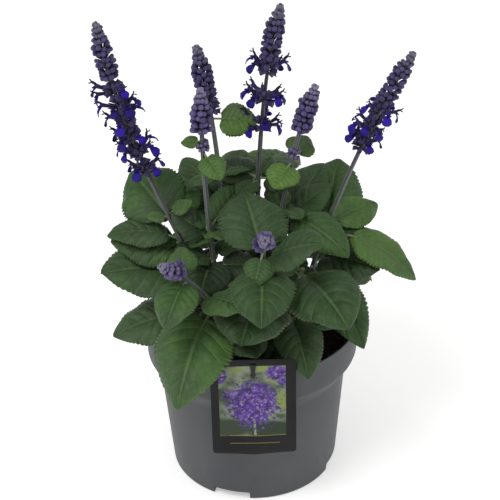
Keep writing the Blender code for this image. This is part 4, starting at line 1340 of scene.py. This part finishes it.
def leaf_parts(leaf, age, rows, columns, seed, quilted=0.8):
    """A fine blade over a leaf's sections, with its stalk and midrib as a tapering rib below it."""
    at, stalk_share = blade_line(leaf)
    half = leaf["half"]
    v = np.arange(1, rows) / rows
    u = np.linspace(-1, 1, columns + 1)
    u = np.sign(u) * np.abs(u) ** 0.9
    v_map, u_map = np.meshgrid(v, u, indexing="ij")
    side = np.abs(u_map)
    reach = toothed_reach(v_map, u_map, half, rows, seed)
    level = quilted_level(v_map, u_map, half, seed, quilted)
    centre, forward, across, normal = at(v_map)
    lobes = half * 0.16 * side ** 2 * (1 - v_map) ** 5
    middle = (centre + across * reach[..., None] + normal * level[..., None]
              - forward * lobes[..., None])
    thick = BLADE_THICK / 2 * np.clip((1 - side) * 8, 0, 1)[..., None]
    top, bottom = middle + normal * thick, middle - normal * thick
    points = [tuple(point) for point in top.reshape(-1, 3)]
    blade_map = [((u[column] + 1) / 2, v[row])
                 for row in range(rows - 1) for column in range(columns + 1)]
    lower = {}
    for row in range(rows - 1):
        for column in range(1, columns):
            lower[row, column] = len(points)
            points.append(tuple(bottom[row, column]))
            blade_map.append(((u[column] + 1) / 2, v[row]))
    base_pole, tip_pole = len(points), len(points) + 1
    points += [tuple(at(0.0)[0]), tuple(leaf["tip"])]
    blade_map += [(0.5, 0.0), (0.5, 1.0)]

    def upper_at(row, column):
        return row * (columns + 1) + column

    def lower_at(row, column):
        return lower.get((row, column), upper_at(row, column))

    faces = blade_faces(rows, columns, upper_at, lower_at, base_pole, tip_pole)
    looks = [FACE, UNDERSIDE] * (len(faces) // 2)

    rib_start = len(points)
    shares = np.concatenate([np.linspace(stalk_share, 0.0, 8)[:-1], np.linspace(0.0, 0.95, 18)])
    centre, forward, across, normal = at(shares)
    radius = np.where(shares < 0, 1.15, 1.1 - 0.85 * shares) * MM
    radius *= min(1.0, 0.45 + half / (40 * MM))
    sink = np.where(shares < 0, 0.0, np.minimum(1.0, shares * 12) * 0.75) * radius
    for index in range(len(shares)):
        for turn in (tau * corner / RIB_SIDES for corner in range(RIB_SIDES)):
            shift = across[index] * cos(turn) + normal[index] * sin(turn)
            rib_centre = centre[index] - normal[index] * sink[index]
            points.append(tuple(rib_centre + shift * radius[index]))
    for near in range(rib_start, len(points) - RIB_SIDES, RIB_SIDES):
        for corner in range(RIB_SIDES):
            after = (corner + 1) % RIB_SIDES
            faces.append((near + after, near + corner, near + RIB_SIDES + corner,
                          near + RIB_SIDES + after))
    faces.append(tuple(rib_start + corner for corner in range(RIB_SIDES)))
    faces.append(tuple(len(points) - 1 - corner for corner in range(RIB_SIDES)))
    looks += [STALK] * (len(faces) - len(looks))
    blade_map += [(0.5, 0.0)] * (len(points) - rib_start)
    return points, faces, looks, blade_map, [age] * len(points)


def leaf_piece(name, leaves):
    """One piece from the parts of one or more leaves, with each leaf's blade map and age kept."""
    points, faces, looks, blade_map, ages = [], [], [], [], []
    for more_points, more_faces, more_looks, more_map, more_ages in leaves:
        faces += [tuple(index + len(points) for index in face) for face in more_faces]
        points += more_points
        looks += more_looks
        blade_map += more_map
        ages += more_ages
    piece = mesh_piece(name, points, faces, [leaf_face, leaf_under, stalk_look])
    mesh = piece.data
    mesh.polygons.foreach_set("material_index", looks)
    blade = mesh.uv_layers.new(name="blade")
    corners = np.zeros(len(mesh.loops), dtype=np.int32)
    mesh.loops.foreach_get("vertex_index", corners)
    blade.data.foreach_set("uv", np.array(blade_map, dtype=np.float32)[corners].ravel())
    kept = mesh.attributes.new("leaf_age", "FLOAT", "POINT")
    kept.data.foreach_set("value", np.array(ages, dtype=np.float32))
    mesh.shade_smooth()
    return piece


WELL_QUILTED = (7, 8, 10, 11, 13)
LEAF_GRID = (88, 28)
# Age of each leaf, from 0 for a fresh light one to 1 for an old dark one.
USUAL_AGE = 0.55
LEAF_AGES = {1: 0.38, 2: 0.64, 3: 0.66, 4: 0.30, 5: 0.5, 6: 0.6, 7: 0.42, 8: 0.42, 9: 0.45,
             11: 0.8, 12: 0.45, 13: 0.45, 14: 0.7, 15: 0.85, 16: 0.9, 17: 0.9, 18: 0.45, 19: 0.42,
             20: 0.42, 21: 0.35, 22: 0.5, 28: 0.75, 29: 0.7, 30: 0.6, 31: 0.85}
for number in range(1, 38):
    node = f"leaf_{number:02d}"
    leaf = read_leaf(node)
    parts = leaf_parts(leaf, LEAF_AGES.get(number, USUAL_AGE), *LEAF_GRID, number * 1.9,
                       1.3 if number in WELL_QUILTED else 0.75)
    settle(leaf_piece("sage_" + node, [parts]), "leaf", node)


# --- Small leaves -------------------------------------------------------------------------------
# Opposite pairs of younger leaves along every stem, each pair set across the one below it. They
# fill the middle of the plant, and a few single ones stand clear on the flowering stems.
STALK_SHARE = 0.22
PAIR_GRID = (40, 16)
CLEAR_GRID = (48, 20)


def grown_leaf(foot, turn, lean, length, width, droop, roll):
    """A leaf from its foot: which way it points round Z, how it leans up, droops and rolls."""
    away = Vector((cos(turn) * cos(lean), sin(turn) * cos(lean), sin(lean)))
    across = Matrix.Rotation(roll, 3, away) @ away.cross(Vector((0, 0, 1))).normalized()
    normal = across.cross(away)
    blade_foot = foot + away * length * STALK_SHARE

    def along(share):
        sag = normal * droop * length * share * share
        return blade_foot + away * length * (1 - STALK_SHARE) * share - sag

    return {"centres": [along(share) for share in SECTION_SHARES], "tip": along(1.0),
            "across": [across] * len(SECTION_SHARES), "half": width / 2, "stalk_end": foot}


# Heights of the leaf pairs up each stem, the first pair's turn in degrees, and the lengths of the
# lowest and highest pair, in millimetres.
LEAF_PAIRS = {
    "flower_stem_1": ((150, 176, 200, 224), 70, 46, 28),
    "flower_stem_2": ((160, 190, 218, 246, 268), 10, 48, 30),
    "flower_stem_3": ((158, 186, 212, 238), 35, 46, 28),
    "flower_stem_4": ((160, 190, 218, 244, 266), 60, 50, 30),
    "flower_stem_5": ((160, 190, 218, 244), 20, 48, 30),
    "flower_stem_6": ((146, 172, 198, 222), 55, 46, 28),
    "flower_stem_7": ((150, 178, 205), 80, 36, 24),
    "flower_stem_8": ((140, 162, 184), 40, 34, 22),
    "leafy_shoot_left": ((140, 160, 180, 200), 15, 42, 28),
    "leafy_shoot_right": ((142, 166, 190, 216), 60, 42, 28),
    "leafy_shoot_back": ((146, 172, 198, 222, 244), 30, 46, 32),
}
# Single leaves: stem, height, turn, lean, length, width, droop, roll and age, in mm and degrees.
CLEAR_LEAVES = (
    ("flower_stem_2", 322, -14, 4, 40, 31, 0.12, 40, 0.22),
    ("flower_stem_2", 324, 170, 20, 14, 9, 0.10, -20, 0.3),
    ("flower_stem_3", 326, 182, 0, 18, 12, 0.10, -35, 0.3),
    ("flower_stem_3", 316, -52, -28, 29, 25, 0.15, 10, 0.25),
    ("flower_stem_5", 292, 236, -20, 31, 31, 0.10, -10, 0.12),
    ("flower_stem_5", 296, 62, 15, 32, 26, 0.10, 20, 0.4),
    ("flower_stem_4", 290, 205, 20, 12, 8, 0.10, 0, 0.05),
    ("flower_stem_4", 268, 150, 10, 42, 34, 0.12, -20, 0.8),
    ("flower_stem_4", 268, -25, 10, 38, 30, 0.12, 20, 0.8),
    ("flower_stem_1", 252, 200, 15, 20, 14, 0.10, -20, 0.12),
    ("flower_stem_1", 254, 20, 25, 24, 17, 0.10, 20, 0.2),
    ("flower_stem_7", 252, 250, -35, 31, 27, 0.12, 0, 0.4),
    ("flower_stem_8", 234, 95, 38, 30, 26, 0.20, 0, 0.35),
    ("flower_stem_8", 232, 275, -30, 26, 20, 0.20, 0, 0.4),
    ("flower_stem_4", 242, 15, 10, 46, 37, 0.15, 25, 0.75),
    ("flower_stem_6", 227, -12, 4, 40, 31, 0.15, 28, 0.6),
    ("flower_stem_6", 206, 182, -4, 40, 32, 0.15, -28, 0.85),
    ("flower_stem_3", 206, 2, 0, 40, 32, 0.15, 28, 0.9),
    ("flower_stem_2", 232, 150, 12, 42, 33, 0.15, -25, 0.7),
)
chance = np.random.default_rng(7)
for node, (heights, first_turn, longest, shortest) in LEAF_PAIRS.items():
    grown = []
    for index, height in enumerate(heights):
        length = (longest + (shortest - longest) * index / (len(heights) - 1)) * MM
        for side in (0, 180):
            turn = radians(first_turn + 90 * index + side + chance.uniform(-18, 18))
            lean = radians(chance.uniform(5, 30))
            size = length * chance.uniform(0.9, 1.15)
            width = size * chance.uniform(0.6, 0.72)
            leaf = grown_leaf(height_on(node, height), turn, lean, size, width,
                              chance.uniform(0.12, 0.3), radians(chance.uniform(-14, 14)))
            age = 0.85 - 0.45 * index / len(heights) + chance.uniform(-0.15, 0.1)
            grown.append(leaf_parts(leaf, age, *PAIR_GRID, len(grown) * 2.3))
    for stem, height, turn, lean, length, width, droop, roll, age in CLEAR_LEAVES:
        if stem == node:
            leaf = grown_leaf(height_on(node, height), radians(turn), radians(lean), length * MM,
                              width * MM, droop, radians(roll))
            grown.append(leaf_parts(leaf, age, *CLEAR_GRID, len(grown) * 1.7))
    settle(leaf_piece("small_leaves_" + node, grown), "leaf")
